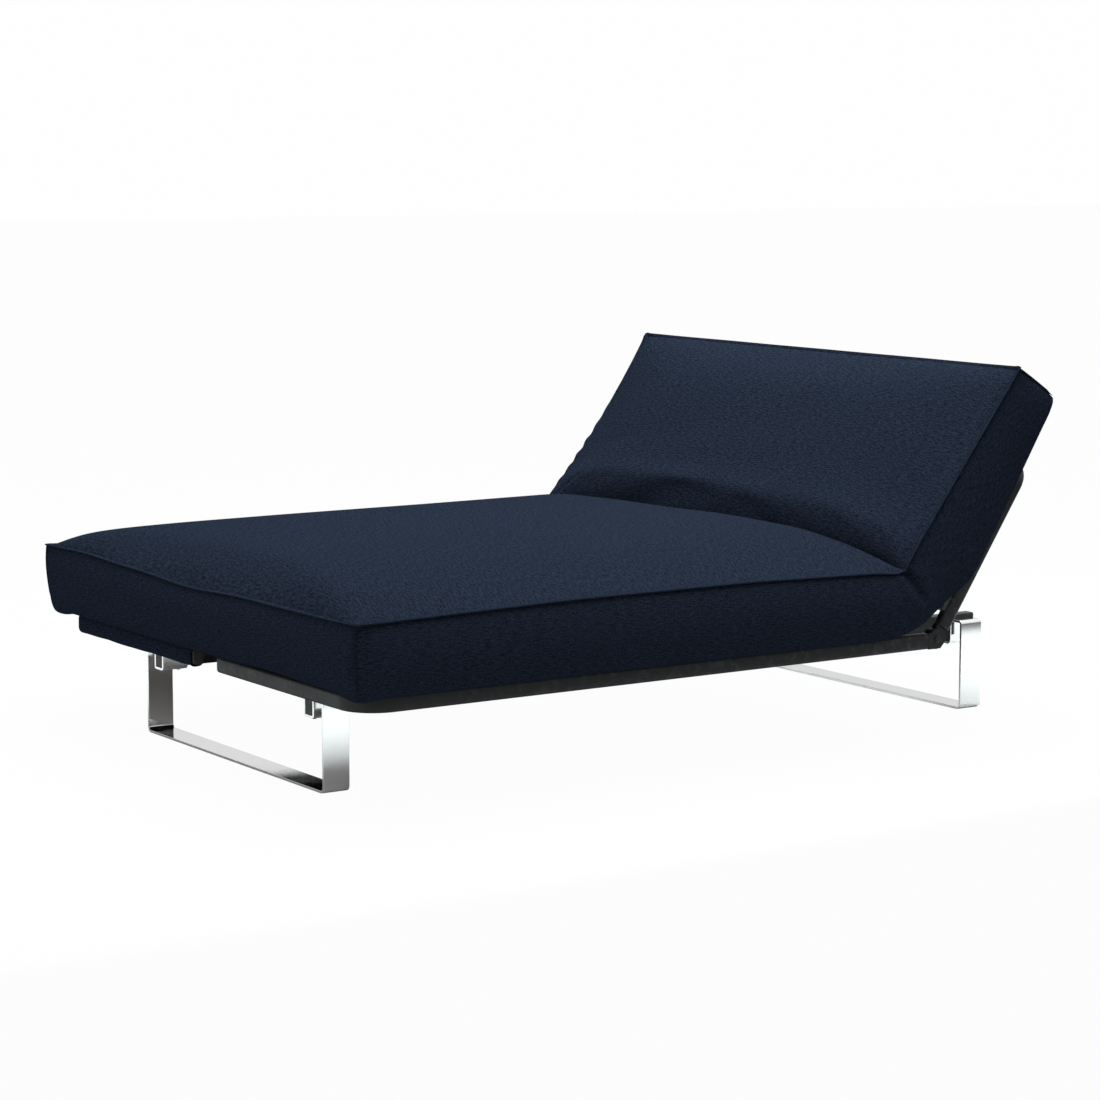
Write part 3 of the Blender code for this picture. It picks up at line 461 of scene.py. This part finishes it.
def birch_material():
    """Pale bent-wood slats, the grain along their length."""
    made = Shader("birch_slat", (0.62, 0.47, 0.30), 0.45)
    grain = made.noise(made.position((3.0, 90.0, 90.0)), 1.0, 5.0, 0.6)
    pores = made.noise(made.position((25.0, 1100.0, 1100.0)), 1.0)
    colour = made.mix(made.ramp(grain, 0.35, 0.68), (0.50, 0.35, 0.20), (0.70, 0.55, 0.37))
    dark = made.math("MULTIPLY", made.ramp(pores, 0.6, 0.75), 0.5)
    made.set("Base Color", made.mix(dark, colour, (0.34, 0.22, 0.12)))
    made.set("Roughness", made.ramp(grain, 0.3, 0.7, 0.38, 0.55))
    made.bump(made.math("ADD", grain, pores), 0.0003, 0.3)
    return made.material


MATERIALS = {
    "cover_fabric": weave_material(),
    "leg_chrome": chrome_material(),
    "frame_steel": paint_material(),
    "zinc_steel": zinc_material(),
    "end_plastic": plastic_material(),
    "slat_wood": birch_material(),
}
MATERIALS["socket_plastic"] = MATERIALS["end_plastic"]
MATERIALS["sleeve_fabric"] = MATERIALS["cover_fabric"]


def finish_cad_nodes():
    """Each CAD node takes its slot's material, and small rounded edges."""
    for row in frame["record"]["subparts"]:
        node = frame["nodes"][row["node"]]
        for slot in node.material_slots:
            slot.material = MATERIALS[row["material_slot"]]
        weld = node.modifiers.new("Weld", "WELD")
        weld.merge_threshold = 0.00001
        edge = node.modifiers.new("Edge", "BEVEL")
        edge.width = CAD_EDGE
        edge.segments = 2
        edge.limit_method = "ANGLE"
        edge.angle_limit = math.radians(50)


# ---------------------------------------------------------------- paths and meshes
def run_along(points):
    """How far along a path each of its points is."""
    return np.concatenate(([0], np.cumsum(np.linalg.norm(np.diff(points, axis=0), axis=1))))


def resample(points, count):
    """The same flat path, cut into evenly spaced points."""
    points = np.array(points)
    run = run_along(points)
    places = np.linspace(0, run[-1], count + 1)
    return np.stack([np.interp(places, run, points[:, c]) for c in (0, 1)], axis=1)


def mesh_object(name, points, faces, uvs, slot):
    """A smooth mesh with its material, and its faces' places on the cloth."""
    mesh = bpy.data.meshes.new(name)
    mesh.from_pydata([tuple(p) for p in points], [], faces)
    layer = mesh.uv_layers.new(name="weave")
    flat = [uv for face in uvs for uv in face]
    layer.data.foreach_set("uv", np.array(flat, np.float32).ravel())
    mesh.materials.append(MATERIALS[slot])
    mesh.shade_smooth()
    made = bpy.data.objects.new(name, mesh)
    bpy.context.scene.collection.objects.link(made)
    return made


def smooth_noise(x, y, seed):
    """A soft random surface: a few sine waves with seeded directions and phases."""
    draw = np.random.default_rng(seed)
    waves = 7
    total = np.zeros_like(x)
    for _ in range(waves):
        angle, phase = draw.uniform(0, math.tau, 2)
        wave = draw.uniform(0.5, 1.6)
        total += np.sin(math.tau * wave * (x * math.cos(angle) + y * math.sin(angle)) + phase)
    return total / waves


# ---------------------------------------------------------------- mattress: the block before it is filled
CREASE = on_seat(1.350, 0.392)  # the seam's corner at the fold, and the bottom of the crease
SEAM_LINE = (  # the top seam in stretches from foot to head, and the spacing of each one's rows
    ([on_seat(0, 0.390), on_seat(0.50, 0.398), on_seat(0.95, 0.398), on_seat(1.27, 0.391)], SPACING),
    ([on_seat(1.27, 0.391), on_seat(1.325, 0.387), CREASE], CREASE_SPACING),
    ([CREASE, on_seat(1.357, 0.407), on_seat(1.388, 0.452), on_seat(1.412, 0.482)], CREASE_SPACING),
    ([on_seat(1.412, 0.482), on_back(0.580, 0.189)], SPACING),
)
BOTTOM_LINE = (  # the underside below each of those stretches
    [on_seat(0, SEAT_BOTTOM), on_seat(1.345, SEAT_BOTTOM)],
    [on_seat(1.345, SEAT_BOTTOM), on_seat(1.415, 0.274), on_seat(1.462, 0.312)],
    [on_seat(1.462, 0.312), on_back(0.140, 0.036)],
    [on_back(0.140, 0.036), on_back(0.583, 0.058)],
)
DART = on_seat(1.346, 0.394), on_seat(1.401, 0.310)  # down each border from the notch in its seam


def stations():
    """The seam line and the bottom line, point by point from foot to head, and where the fold is."""
    top, bottom, counts = [], [], []
    for (points, spacing), below in zip(SEAM_LINE, BOTTOM_LINE):
        count = round(sum(np.linalg.norm(b - a) for a, b in zip(points, points[1:])) / spacing)
        top.append(resample(points, count)[:-1])
        bottom.append(resample(below, count)[:-1])
        counts.append(count)
    top.append(np.array([SEAM_LINE[-1][0][-1]]))
    bottom.append(np.array([BOTTOM_LINE[-1][-1]]))
    return np.concatenate(top), np.concatenate(bottom), counts[0] + counts[1]


TOP, BOTTOM, FOLD = stations()
ROWS = len(TOP) - 1
COLUMNS = round(2 * HALF_WIDTH / SPACING)
LAYERS = round(PAD_HEIGHT / SPACING)
RUN = run_along(TOP)
FOLD_RUN = RUN[FOLD]


class Block:
    """The surface of a block of rows, columns and layers, one vertex for each place on it.

    Rows (i) run from foot to head, columns (j) from left to right and layers (k) from the bottom up."""

    def __init__(self):
        self.number = {}
        places = []
        for i in range(ROWS + 1):
            for j in range(COLUMNS + 1):
                for k in range(LAYERS + 1):
                    if i in (0, ROWS) or j in (0, COLUMNS) or k in (0, LAYERS):
                        self.number[i, j, k] = len(places)
                        places.append((i, j, k))
        self.grid = np.array(places)
        self.faces = []
        self.uvs = []
        self.x = np.linspace(-HALF_WIDTH, HALF_WIDTH, COLUMNS + 1)
        self.below = run_along(BOTTOM)
        self.add_top_and_bottom()
        self.add_borders()
        self.add_ends()

    def quad(self, corners, on_cloth):
        self.faces.append([self.number[c] for c in corners])
        self.uvs.append([on_cloth(*c) for c in corners])

    def on_top(self, i, j, k):
        return self.x[j], RUN[i]

    def on_bottom(self, i, j, k):
        return self.x[j] + UNDER_PANEL, self.below[i]

    def on_border(self, i, j, k):
        return RUN[i] + BORDER_PANEL, k * PAD_HEIGHT / LAYERS

    def on_end(self, i, j, k):
        return self.x[j] + END_PANEL, k * PAD_HEIGHT / LAYERS

    def add_top_and_bottom(self):
        for i in range(ROWS):
            for j in range(COLUMNS):
                ring = ((i, j), (i, j + 1), (i + 1, j + 1), (i + 1, j))
                self.quad([(*c, LAYERS) for c in ring], self.on_top)
                self.quad([(*c, 0) for c in ring[::-1]], self.on_bottom)

    def add_borders(self):
        for i in range(ROWS):
            for k in range(LAYERS):
                ring = ((i, k), (i + 1, k), (i + 1, k + 1), (i, k + 1))
                self.quad([(a, COLUMNS, b) for a, b in ring], self.on_border)
                self.quad([(a, 0, b) for a, b in ring[::-1]], self.on_border)

    def add_ends(self):
        for j in range(COLUMNS):
            for k in range(LAYERS):
                ring = ((j, k), (j + 1, k), (j + 1, k + 1), (j, k + 1))
                self.quad([(0, *c) for c in ring], self.on_end)
                self.quad([(ROWS, *c) for c in ring[::-1]], self.on_end)


def rise(distance, reach):
    """How full the padding is at a distance in from a seam: 0 at the seam and 1 past its reach."""
    share = np.clip(distance / reach, 0, 1)
    return (1 - (1 - share) ** 4.0) ** FULLNESS


def bell(value, centre, width):
    return np.exp(-(((value - centre) / width) ** 2))


def directions():
    """For each row, the direction along the cushion's top."""
    slope = np.gradient(TOP, axis=0)
    slope[: FOLD + 1] = (1, 0)
    slope[FOLD + 1:] = (math.cos(BACK_SLOPE), math.sin(BACK_SLOPE))
    slope[FOLD] = slope[FOLD - 1] + slope[FOLD + 1]
    return slope / np.linalg.norm(slope, axis=1)[:, None]


def crown(x, run, seam_height, side):
    """How far the top swells over its seam line: low at every seam, with a roll just past the fold."""
    to_fold = np.abs(run - FOLD_RUN)
    to_head = RUN[-1] - run
    full = CROWN_HEIGHT - seam_height - CROWN_LEFT_DROP * np.clip(0.3 - x / 0.5, 0, 1)
    seat = full * side * rise(run, FOOT_REACH) * rise(to_fold, FOLD_REACH)
    seat += 0.004 * smooth_noise(x / 0.55, run / 0.55, 3) * side * rise(run, 0.2) * rise(to_fold, 0.2)
    back = BACK_CROWN * side * rise(to_head, HEAD_REACH) * rise(to_fold, FOLD_REACH)
    back += FOLD_ROLL * bell(to_fold, 0.075, 0.045) * side
    spread = side * rise(to_head, 0.2) * rise(to_fold, 0.1)
    dents = 0.0035 * smooth_noise(x / 0.4, run / 0.4, 5) + 0.0022 * smooth_noise(x / 0.2, run / 0.14, 9)
    back += dents * spread
    return np.where(run <= FOLD_RUN, seat, back)


def foot_sag(x, run, level):
    """The foot seam dips in the middle and is a little high near its left corner."""
    near_foot = np.clip(1 - run / 0.10, 0, 1) ** 2
    sag = -0.008 * bell(x, 0.01, 0.16) + 0.006 * bell(x, -0.50, 0.14)
    droop = -0.010 + 0.006 * bell(x, 0.34, 0.12)
    return near_foot * (sag * level + droop * (1 - level) ** 2)


def border_swell(x, run, level, on_border):
    """How far points move to the right: borders bulge between seams and pull in between corners."""
    bulge = BORDER_BULGE * np.sin(math.pi * np.clip(level * 1.05, 0, 1)) ** FULLNESS
    bulge *= 0.85 + 0.25 * smooth_noise(run / 0.3, level, 8)
    pull = BORDER_PULL * np.sin(math.pi * np.clip(run / FOLD_RUN, 0, 1)) * (run < FOLD_RUN)
    ends = -0.15 + 1.15 * rise(run, END_REACH) * rise(RUN[-1] - run, END_REACH)
    return np.where(on_border, np.sign(x) * (bulge * ends - pull), -pull * x / HALF_WIDTH)


def end_swell(level, side, depth, flat):
    """How far an end bulges: most in its middle, and a share of that at its corners."""
    return depth * np.sin(math.pi * level) ** FULLNESS * (flat + (1 - flat) * side**0.5)


def dart_depth(yz):
    """How far a border is drawn in beside its dart, with the cloth a little full on either side."""
    first, last = DART
    along = np.clip(((yz - first) @ (last - first)) / ((last - first) ** 2).sum(), 0, 1)
    away = np.linalg.norm(yz - first - along[:, None] * (last - first), axis=1)
    return DART_DEPTH * bell(away, 0, 0.009) * (1 - 0.6 * along) - DART_PUFF * bell(away, 0.022, 0.014)


def drawn_edge(x, run):
    """Where the left edge of the back is drawn in, and the small gathers in it near the fold."""
    share = np.clip((run - FOLD_RUN) / (RUN[-1] - FOLD_RUN), 0, 1)
    drawn = np.sin(math.pi * share) ** FULLNESS * np.clip(1 - (x + HALF_WIDTH) / DRAWN_WIDTH, 0, 1) ** 2
    waves = np.sin(math.tau * (run - FOLD_RUN) / GATHER_PITCH + 3 * np.sin(9 * run))
    return drawn, waves * bell(share, 0.30, 0.22)


def sculpt(block):
    """The block's points, crowned, bulged and pulled in as a filled cover is."""
    i, j, k = block.grid.T
    x = -HALF_WIDTH + 2 * HALF_WIDTH * j / COLUMNS
    run, level = RUN[i], k / LAYERS
    side = rise(HALF_WIDTH - np.abs(x), SIDE_REACH)
    slope = directions()
    out = np.stack((-slope[:, 1], slope[:, 0]), axis=1)[i]

    yz = BOTTOM[i] + (TOP[i] - BOTTOM[i]) * level[:, None]
    yz = yz + out * (crown(x, run, TOP[i][:, 1], side) * (k == LAYERS))[:, None]
    yz[:, 1] += foot_sag(x, run, level)
    yz -= out * (TUBE_HANG * np.clip((np.abs(x) - TUBE_LINE) / 0.05, 0, 1) * (1 - level) ** 2)[:, None]

    on_border = (j == 0) | (j == COLUMNS)
    outward = border_swell(x, run, level, on_border)
    outward = outward - np.where(on_border & (k < LAYERS), np.sign(x) * dart_depth(yz), 0)
    drawn, gather = drawn_edge(x, run)
    outward = outward + drawn * DRAWN_IN * level
    yz -= out * (drawn * level * (DRAWN_DOWN + GATHER * gather))[:, None]
    yz[:, 0] -= np.where(i == 0, end_swell(level, side, FOOT_BULGE, 0.4), 0)
    yz += slope[-1] * np.where(i == ROWS, end_swell(level, side, HEAD_BULGE, 0.5), 0)[:, None]
    return np.column_stack((x + outward, yz))


def edges_of(faces, count):
    """Each edge of the mesh once, as pairs of vertex numbers, and how many edges meet at each vertex."""
    quads = np.array(faces)
    pairs = np.concatenate([quads[:, [a, (a + 1) % 4]] for a in range(4)])
    pairs = np.unique(np.sort(pairs, axis=1), axis=0)
    return pairs, np.bincount(pairs.ravel(), minlength=count)


def relax(points, pairs, valence, weight):
    """Move points towards the middle of their neighbours, as much as each one's weight says."""
    a, b = pairs.T
    for _ in range(RELAX_STEPS):
        total = np.zeros_like(points)
        for axis in range(3):
            total[:, axis] += np.bincount(a, points[b, axis], len(points))
            total[:, axis] += np.bincount(b, points[a, axis], len(points))
        points = points + (total / valence[:, None] - points) * (weight * 0.5)[:, None]
    return points


def soften(block, points):
    """Round the lower edges and corners and the underside of the fold; the seams stay sharp."""
    i, j, k = block.grid.T
    across = np.minimum(j, COLUMNS - j) * SPACING
    height = k / LAYERS * PAD_HEIGHT
    lengthwise = np.minimum(RUN[i], RUN[-1] - RUN[i])
    at_head = RUN[-1] - RUN[i] < 0.05
    rounding = np.where(at_head, HEAD_ROUNDING, LOWER_ROUNDING)
    edge = np.clip(1 - np.hypot(np.minimum(across, lengthwise), height) / rounding, 0, 1)
    corner = np.clip(1 - np.hypot(across, lengthwise) / CORNER_ROUNDING, 0, 1)
    corner = corner * (1 - k / LAYERS) ** 3 * ~at_head
    under = (k < LAYERS * 0.5) * bell(RUN[i], FOLD_RUN, 0.10)
    weight = np.clip(1.2 * edge + 1.5 * corner + 0.6 * under, 0, 1) * (k < LAYERS)
    return relax(points, *edges_of(block.faces, len(points)), weight)


def read_points(obj):
    points = np.zeros(len(obj.data.vertices) * 3, np.float64)
    obj.data.vertices.foreach_get("co", points)
    return points.reshape(-1, 3)


def held_points(block):
    """1 for each point that filling doesn't move: the seams, the corners, the crease and the underside."""
    i, j, k = block.grid.T
    end, border, top = (i == 0) | (i == ROWS), (j == 0) | (j == COLUMNS), k == LAYERS
    return np.where((top & (end | border)) | (end & border) | (top & (i == FOLD)) | (k == 0), 1.0, 0.0)


def fill(obj, held):
    """Inflate the cover for a few frames as cloth; held says how firmly each point stays."""
    group = obj.vertex_groups.new(name="held")
    for level in np.unique(held):
        group.add(np.nonzero(held == level)[0].tolist(), float(level), "REPLACE")
    cloth = obj.modifiers.new("Cloth", "CLOTH")
    settings = cloth.settings
    settings.quality = 5
    settings.mass = 0.3
    settings.tension_stiffness = 18
    settings.compression_stiffness = 18
    settings.shear_stiffness = 6
    settings.bending_stiffness = 0.6
    settings.vertex_group_mass = "held"
    settings.use_pressure = True
    settings.uniform_pressure_force = PRESSURE
    settings.effector_weights.gravity = 0
    cloth.point_cache.frame_start = 1
    cloth.point_cache.frame_end = FILL_FRAMES
    start = read_points(obj)
    for number in range(1, FILL_FRAMES + 1):
        bpy.context.scene.frame_set(number)
    evaluated = obj.evaluated_get(bpy.context.evaluated_depsgraph_get())
    ended = np.zeros(len(start) * 3, np.float32)
    evaluated.data.vertices.foreach_get("co", ended)
    moved = ended.reshape(-1, 3) - start
    obj.modifiers.remove(cloth)
    obj.vertex_groups.remove(group)
    bpy.context.scene.frame_set(1)
    reach = np.linalg.norm(moved, axis=1)
    share = MOST_FILL * np.tanh(reach / MOST_FILL) / np.maximum(reach, 1e-9)
    filled = start + moved * share[:, None]
    obj.data.vertices.foreach_set("co", filled.astype(np.float32).ravel())
    obj.data.update()


# ---------------------------------------------------------------- mattress: the seams
def smooth_path(points, closed):
    """The same path with a point added between each two, on a smooth curve."""
    points = np.array(points)
    count = len(points)
    rows = []
    for n in range(count if closed else count - 1):
        index = [(n + d) % count if closed else min(max(n + d, 0), count - 1) for d in (-1, 0, 1, 2)]
        a, b, c, d = points[index]
        for t in (0.0, 0.5):
            rows.append(0.5 * (2 * b + (c - a) * t + (2 * a - 5 * b + 4 * c - d) * t**2
                               + (3 * b - a - 3 * c + d) * t**3))
    if not closed:
        rows.append(points[-1])
    return np.array(rows)


def ridge(name, path, outward, height, closed):
    """A thin sewn flange that stands out from a seam: faces round a narrow section along the path."""
    count = len(path)
    ahead = np.roll(path, -1, axis=0) - np.roll(path, 1, axis=0)
    if not closed:
        ahead[0], ahead[-1] = path[1] - path[0], path[-1] - path[-2]
    ahead /= np.linalg.norm(ahead, axis=1)[:, None]
    out = outward - ahead * (outward * ahead).sum(axis=1)[:, None]
    out /= np.linalg.norm(out, axis=1)[:, None]
    across = np.cross(ahead, out)
    half = [(-1.3, 1.6), (0.2, 1.25), (0.7, 1.05), (0.93, 0.7), (1.0, 0.0)]
    section = half + [(u, -v) for u, v in half[-2::-1]]
    size = len(section)
    points = [
        path[n] + out[n] * height[n] * u + across[n] * WELT_HALF * v for n in range(count) for u, v in section
    ]
    faces, uvs = [], []
    run = run_along(path) + WELT_PANEL
    for n in range(count if closed else count - 1):
        after = (n + 1) % count
        start, end = run[n], run[after] if after else run[n] + SPACING / 2
        for a in range(size):
            b = (a + 1) % size
            faces.append([n * size + a, n * size + b, after * size + b, after * size + a])
            low, high = a * WELT_STRIP, (a + 1) * WELT_STRIP
            uvs.append([(start, low), (start, high), (end, high), (end, low)])
    if not closed:
        for n, order in ((0, -1), (count - 1, 1)):
            faces.append([n * size + m for m in range(size)][::order])
            uvs.append([(run[n] + WELT_STRIP / 3 * m, 0.04) for m in range(size)])
    return mesh_object(name, points, faces, uvs, "cover_fabric")


def top_seam(block, points):
    """The points and outward directions of the top seam, all the way round."""
    loop = [(0, j) for j in range(COLUMNS)] + [(i, COLUMNS) for i in range(ROWS)]
    loop += [(ROWS, j) for j in range(COLUMNS, 0, -1)] + [(i, 0) for i in range(ROWS, 0, -1)]
    path, outward = [], []
    for i, j in loop:
        inner_row, inner_column = (min(max(n, INSET), most - INSET) for n, most in ((i, ROWS), (j, COLUMNS)))
        here = points[block.number[i, j, LAYERS]]
        below = points[block.number[i, j, LAYERS - 2]]
        inner = points[block.number[inner_row, inner_column, LAYERS]]
        from_below, from_inner = ((here - q) / max(np.linalg.norm(here - q), 1e-6) for q in (below, inner))
        path.append(here)
        outward.append(from_below * 0.7 + from_inner * 1.0)
    return smooth_path(path, True), smooth_path(outward, True)


def corner_seam(block, points, i, j):
    """The points and outward directions of one upright seam, from the bottom up."""
    row = INSET if i == 0 else ROWS - INSET
    column = INSET if j == 0 else COLUMNS - INSET
    layers = range(WELT_START, LAYERS + 1)
    line = np.array([points[block.number[i, j, k]] for k in layers])
    inner = np.array([points[block.number[row, j, k]] + points[block.number[i, column, k]] for k in layers])
    return smooth_path(line, False), smooth_path(line - inner / 2, False)


def make_welts(block, points):
    """The welt round the top seam, a little higher at its corners, and one down each corner."""
    corners = {
        "foot_left": (0, 0),
        "foot_right": (0, COLUMNS),
        "head_left": (ROWS, 0),
        "head_right": (ROWS, COLUMNS),
    }
    path, outward = top_seam(block, points)
    wave = smooth_noise(np.arange(len(path)) / 90, np.zeros(len(path)), 21)
    height = WELT_HEIGHT * (1 + 0.12 * wave)
    for i, j in corners.values():
        place = points[block.number[i, j, LAYERS]]
        height += 0.001 * bell(np.linalg.norm(path - place, axis=1), 0, 0.012)
    welts = [ridge("mattress_top_welt", path, outward, height, True)]
    for name, (i, j) in corners.items():
        line, away = corner_seam(block, points, i, j)
        height = WELT_HEIGHT * 0.45 * np.clip(np.arange(len(line)) / 5, 0.1, 1)
        welts.append(ridge("mattress_corner_welt_" + name, line, away, height, False))
    return welts


def make_mattress():
    block = Block()
    points = soften(block, sculpt(block))
    cover = mesh_object("mattress_cover", points, block.faces, block.uvs, "cover_fabric")
    fill(cover, held_points(block))
    welts = make_welts(block, read_points(cover))
    smooth = cover.modifiers.new("Subdivision", "SUBSURF")
    smooth.levels = smooth.render_levels = 1

    pivot = np.array((HINGE.y, HINGE.z))
    down = pivot - CREASE
    down /= np.linalg.norm(down)
    for piece in (cover, *welts):
        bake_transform(piece)
    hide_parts("seat_cushion", "back_cushion")


# ---------------------------------------------------------------- legs and tubes
def turned_path(points, radii, steps):
    """A flat path through points, each inner corner rounded."""
    path = [np.array(points[0], float)]
    for before, corner, after, radius in zip(points, points[1:], points[2:], radii):
        before, corner, after = (np.array(q, float) for q in (before, corner, after))
        into = (corner - before) / np.linalg.norm(corner - before)
        out = (after - corner) / np.linalg.norm(after - corner)
        turn = math.acos(float(np.clip(into @ out, -1, 1)))
        side = out - into * (into @ out)
        side /= np.linalg.norm(side)
        start = corner - into * radius * math.tan(turn / 2)
        path.append(start - into * BEND_GUARD)
        for angle in np.linspace(0, turn, steps + 1):
            path.append(start + radius * (into * math.sin(angle) + side * (1 - math.cos(angle))))
        path.append(path[-1] + out * BEND_GUARD)
    path.append(np.array(points[-1], float))
    return np.array(path)


def normals_of(path):
    ahead = np.gradient(path, axis=0)
    ahead[0], ahead[-1] = path[1] - path[0], path[-1] - path[-2]
    ahead /= np.linalg.norm(ahead, axis=1)[:, None]
    return np.stack((-ahead[:, 1], ahead[:, 0]), axis=1)


def mark_edges(mesh):
    """Turn the faces outward, and make each edge sharp where its faces meet at 20 degrees or more."""
    shape = bmesh.new()
    shape.from_mesh(mesh)
    bmesh.ops.recalc_face_normals(shape, faces=shape.faces)
    for edge in shape.edges:
        edge.smooth = len(edge.link_faces) < 2 or edge.calc_face_angle(0) < math.radians(20)
    shape.to_mesh(mesh)
    shape.free()


def loft(name, rings, slot, capped=False, looped=False):
    """A smooth surface through rings of points."""
    rings = np.array(rings)
    count, size = rings.shape[:2]
    faces = []
    for n in range(count if looped else count - 1):
        m = (n + 1) % count
        for q in range(size):
            p = (q + 1) % size
            faces.append([n * size + q, n * size + p, m * size + p, m * size + q])
    if capped:
        faces.append(list(range(size))[::-1])
        faces.append(list(range((count - 1) * size, count * size)))
    along = run_along(rings[:, 0]) + TUBE_PANEL
    round_it = run_along(rings[0])
    uvs = [[(along[v // size], round_it[v % size]) for v in face] for face in faces]
    made = mesh_object(name, rings.reshape(-1, 3), faces, uvs, slot)
    mark_edges(made.data)
    return made


def make_leg(node):
    """One bent chrome band: floor bar, uprights, and a cradle round each base rail."""
    low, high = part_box(node)
    half = BAND_THICK / 2
    inner = RAIL_LOW.x - CLEAR - half
    outer = RAIL_HIGH.x + CLEAR + half
    bottom = RAIL_LOW.z - CLEAR - half
    upright, shoulder = high.x - half, high.z - half
    right = [(upright, half), (upright, shoulder), (outer, shoulder), (outer, bottom), (inner, bottom)]
    right.append((inner, high.z - BAND_THICK))
    corners = [(-x, z) for x, z in right[::-1]] + right
    path = turned_path(corners, [BAND_BEND] * 4 + [FLOOR_BEND] * 2 + [BAND_BEND] * 4, LEG_STEPS)
    side = normals_of(path)
    near = ((0.0, BAND_EDGE), (BAND_EDGE * 0.3, BAND_EDGE * 0.3), (BAND_EDGE, 0.0))
    edges = [(low.y + depth, inset) for depth, inset in near]
    edges += [(high.y - depth, inset) for depth, inset in near[::-1]]
    rings = []
    for y, inset in edges:
        reach = half - inset
        flat = np.concatenate((path + side * reach, (path - side * reach)[::-1]))
        rings.append(np.column_stack((flat[:, 0], np.full(len(flat), y), flat[:, 1])))
    leg = loft(node + "_band", rings, "leg_chrome", capped=True)
    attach(leg, "base")
    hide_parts(node)


def rounded_section(width, height, radius, steps):
    points = []
    for sx, sy, start in ((1, 1, 0), (-1, 1, 90), (-1, -1, 180), (1, -1, 270)):
        for angle in np.linspace(start, start + 90, steps + 1):
            turn = math.radians(angle)
            points.append((sx * (width / 2 - radius) + radius * math.cos(turn),
                           sy * (height / 2 - radius) + radius * math.sin(turn)))
    return points


def tube_rings(path, inset, place):
    """Rings round a flat path. place turns a point of the path and a height into a point of the scene."""
    section = rounded_section(TUBE_WIDTH - 2 * inset, TUBE_HEIGHT - 2 * inset, TUBE_ROUNDING - inset, 7)
    return [[place(*(p + s * u), v) for u, v in section] for p, s in zip(path, normals_of(path))]


def make_tube(name, path, place, body, node):
    outer, inner = tube_rings(path, 0.0, place), tube_rings(path, TUBE_WALL, place)
    tube = loft(name, outer + inner[::-1], "frame_steel", looped=True)
    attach(tube, body)
    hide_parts(node)


def make_seat_tube(word, middle_x, outside_x, end_y):
    """Half of the foot tube, a bend and one side tube."""

    def place(x, y, z):
        return x, y, TUBE_MIDDLE + z

    foot = TUBE_LOW.y + TUBE_WIDTH / 2
    edge = outside_x - math.copysign(TUBE_WIDTH / 2, outside_x)
    path = turned_path([(middle_x, foot), (edge, foot), (edge, end_y)], [SEAT_BEND], TUBE_STEPS)
    make_tube("seat_tube_smooth_" + word, path, place, "base", "seat_tube_" + word)


def make_back_tube():
    """The back's tube, a U that is open towards the hinge."""

    def place(x, y, z):
        return x, *on_back(y, z + TUBE_MIDDLE - HINGE.z)

    edge = TUBE_HIGH.x - TUBE_WIDTH / 2
    reach = BACK_REACH - TUBE_WIDTH / 2
    corners = [(-edge, BACK_START), (-edge, reach), (edge, reach), (edge, BACK_START)]
    path = turned_path(corners, [BACK_BEND] * 2, TUBE_STEPS)
    make_tube("back_tube_smooth", path, place, "back", "back_tube")


# ---------------------------------------------------------------- sleeve
def sleeve_line(side, bend):
    """The sleeve's front or rear line: along the foot tube, then round its corner, as even points."""
    foot = TUBE_LOW.y + TUBE_WIDTH / 2 + side
    edge = LEFT_TUBE_LOW.x + TUBE_WIDTH / 2 + side
    corners = [(SLEEVE_HIGH.x, foot), (edge, foot), (edge, SLEEVE_HIGH.y)]
    path = turned_path(corners, [bend], SLEEVE_BEND_STEPS)
    straight = resample(path[:2], SLEEVE_STRAIGHT - 1)
    return np.concatenate((straight[:-1], resample(path[1:], SLEEVE_CORNER - 1)))


def sleeve_section(width, height, ring, share):
    """One ring of the sleeve: the tube's section with a little ease, soft folds, a hem and a sag below."""
    section = np.array(rounded_section(width, height, SLEEVE_ROUNDING, 8))
    angle = np.arctan2(section[:, 1], section[:, 0])
    swell = HEM[ring] if ring < len(HEM) else 0.0
    for depth, along, around, seed in SLEEVE_FOLDS:
        swell = swell + depth * smooth_noise(np.full(len(section), share * along), angle / around, seed)
    sag = SLEEVE_SAG * (0.6 + 0.4 * math.sin(share * 19.0)) * np.clip(-np.sin(angle), 0, 1) ** 2
    section = section * (1 + swell / (height / 2))[:, None]
    section[:, 1] -= sag
    return section


def make_sleeve():
    """A loose fabric sleeve on the left half of the foot tube and its corner, hemmed at its mouth."""
    reach = TUBE_WIDTH / 2 + SLEEVE_EASE
    front, rear = sleeve_line(-reach, SLEEVE_FRONT_BEND), sleeve_line(reach, SLEEVE_REAR_BEND)
    height = TUBE_HEIGHT + 2 * SLEEVE_EASE
    rings = []
    for n, (near, far) in enumerate(zip(front, rear)):
        centre, across = (near + far) / 2, far - near
        width = np.linalg.norm(across)
        section = sleeve_section(width, height, n, n / len(front))
        rings.append([(*(centre + across / width * u), TUBE_MIDDLE + v) for u, v in section])
    sleeve = loft("foot_sleeve_cloth", rings, "sleeve_fabric")
    shell = sleeve.modifiers.new("Cloth", "SOLIDIFY")
    shell.thickness = SLEEVE_CLOTH
    shell.offset = 0.0
    smooth = sleeve.modifiers.new("Subdivision", "SUBSURF")
    smooth.levels = smooth.render_levels = 1
    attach(sleeve, "base")
    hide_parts("foot_sleeve")
    length = float(run_along((front + rear) / 2)[-1])


# ---------------------------------------------------------------- the whole
make_camera()
make_studio()
finish_cad_nodes()
make_mattress()
for node in ("front_leg", "rear_leg"):
    make_leg(node)
make_seat_tube("right", TUBE_LOW.x, TUBE_HIGH.x, TUBE_HIGH.y)
make_seat_tube("left", LEFT_TUBE_HIGH.x, LEFT_TUBE_LOW.x, LEFT_TUBE_HIGH.y)
make_back_tube()
make_sleeve()
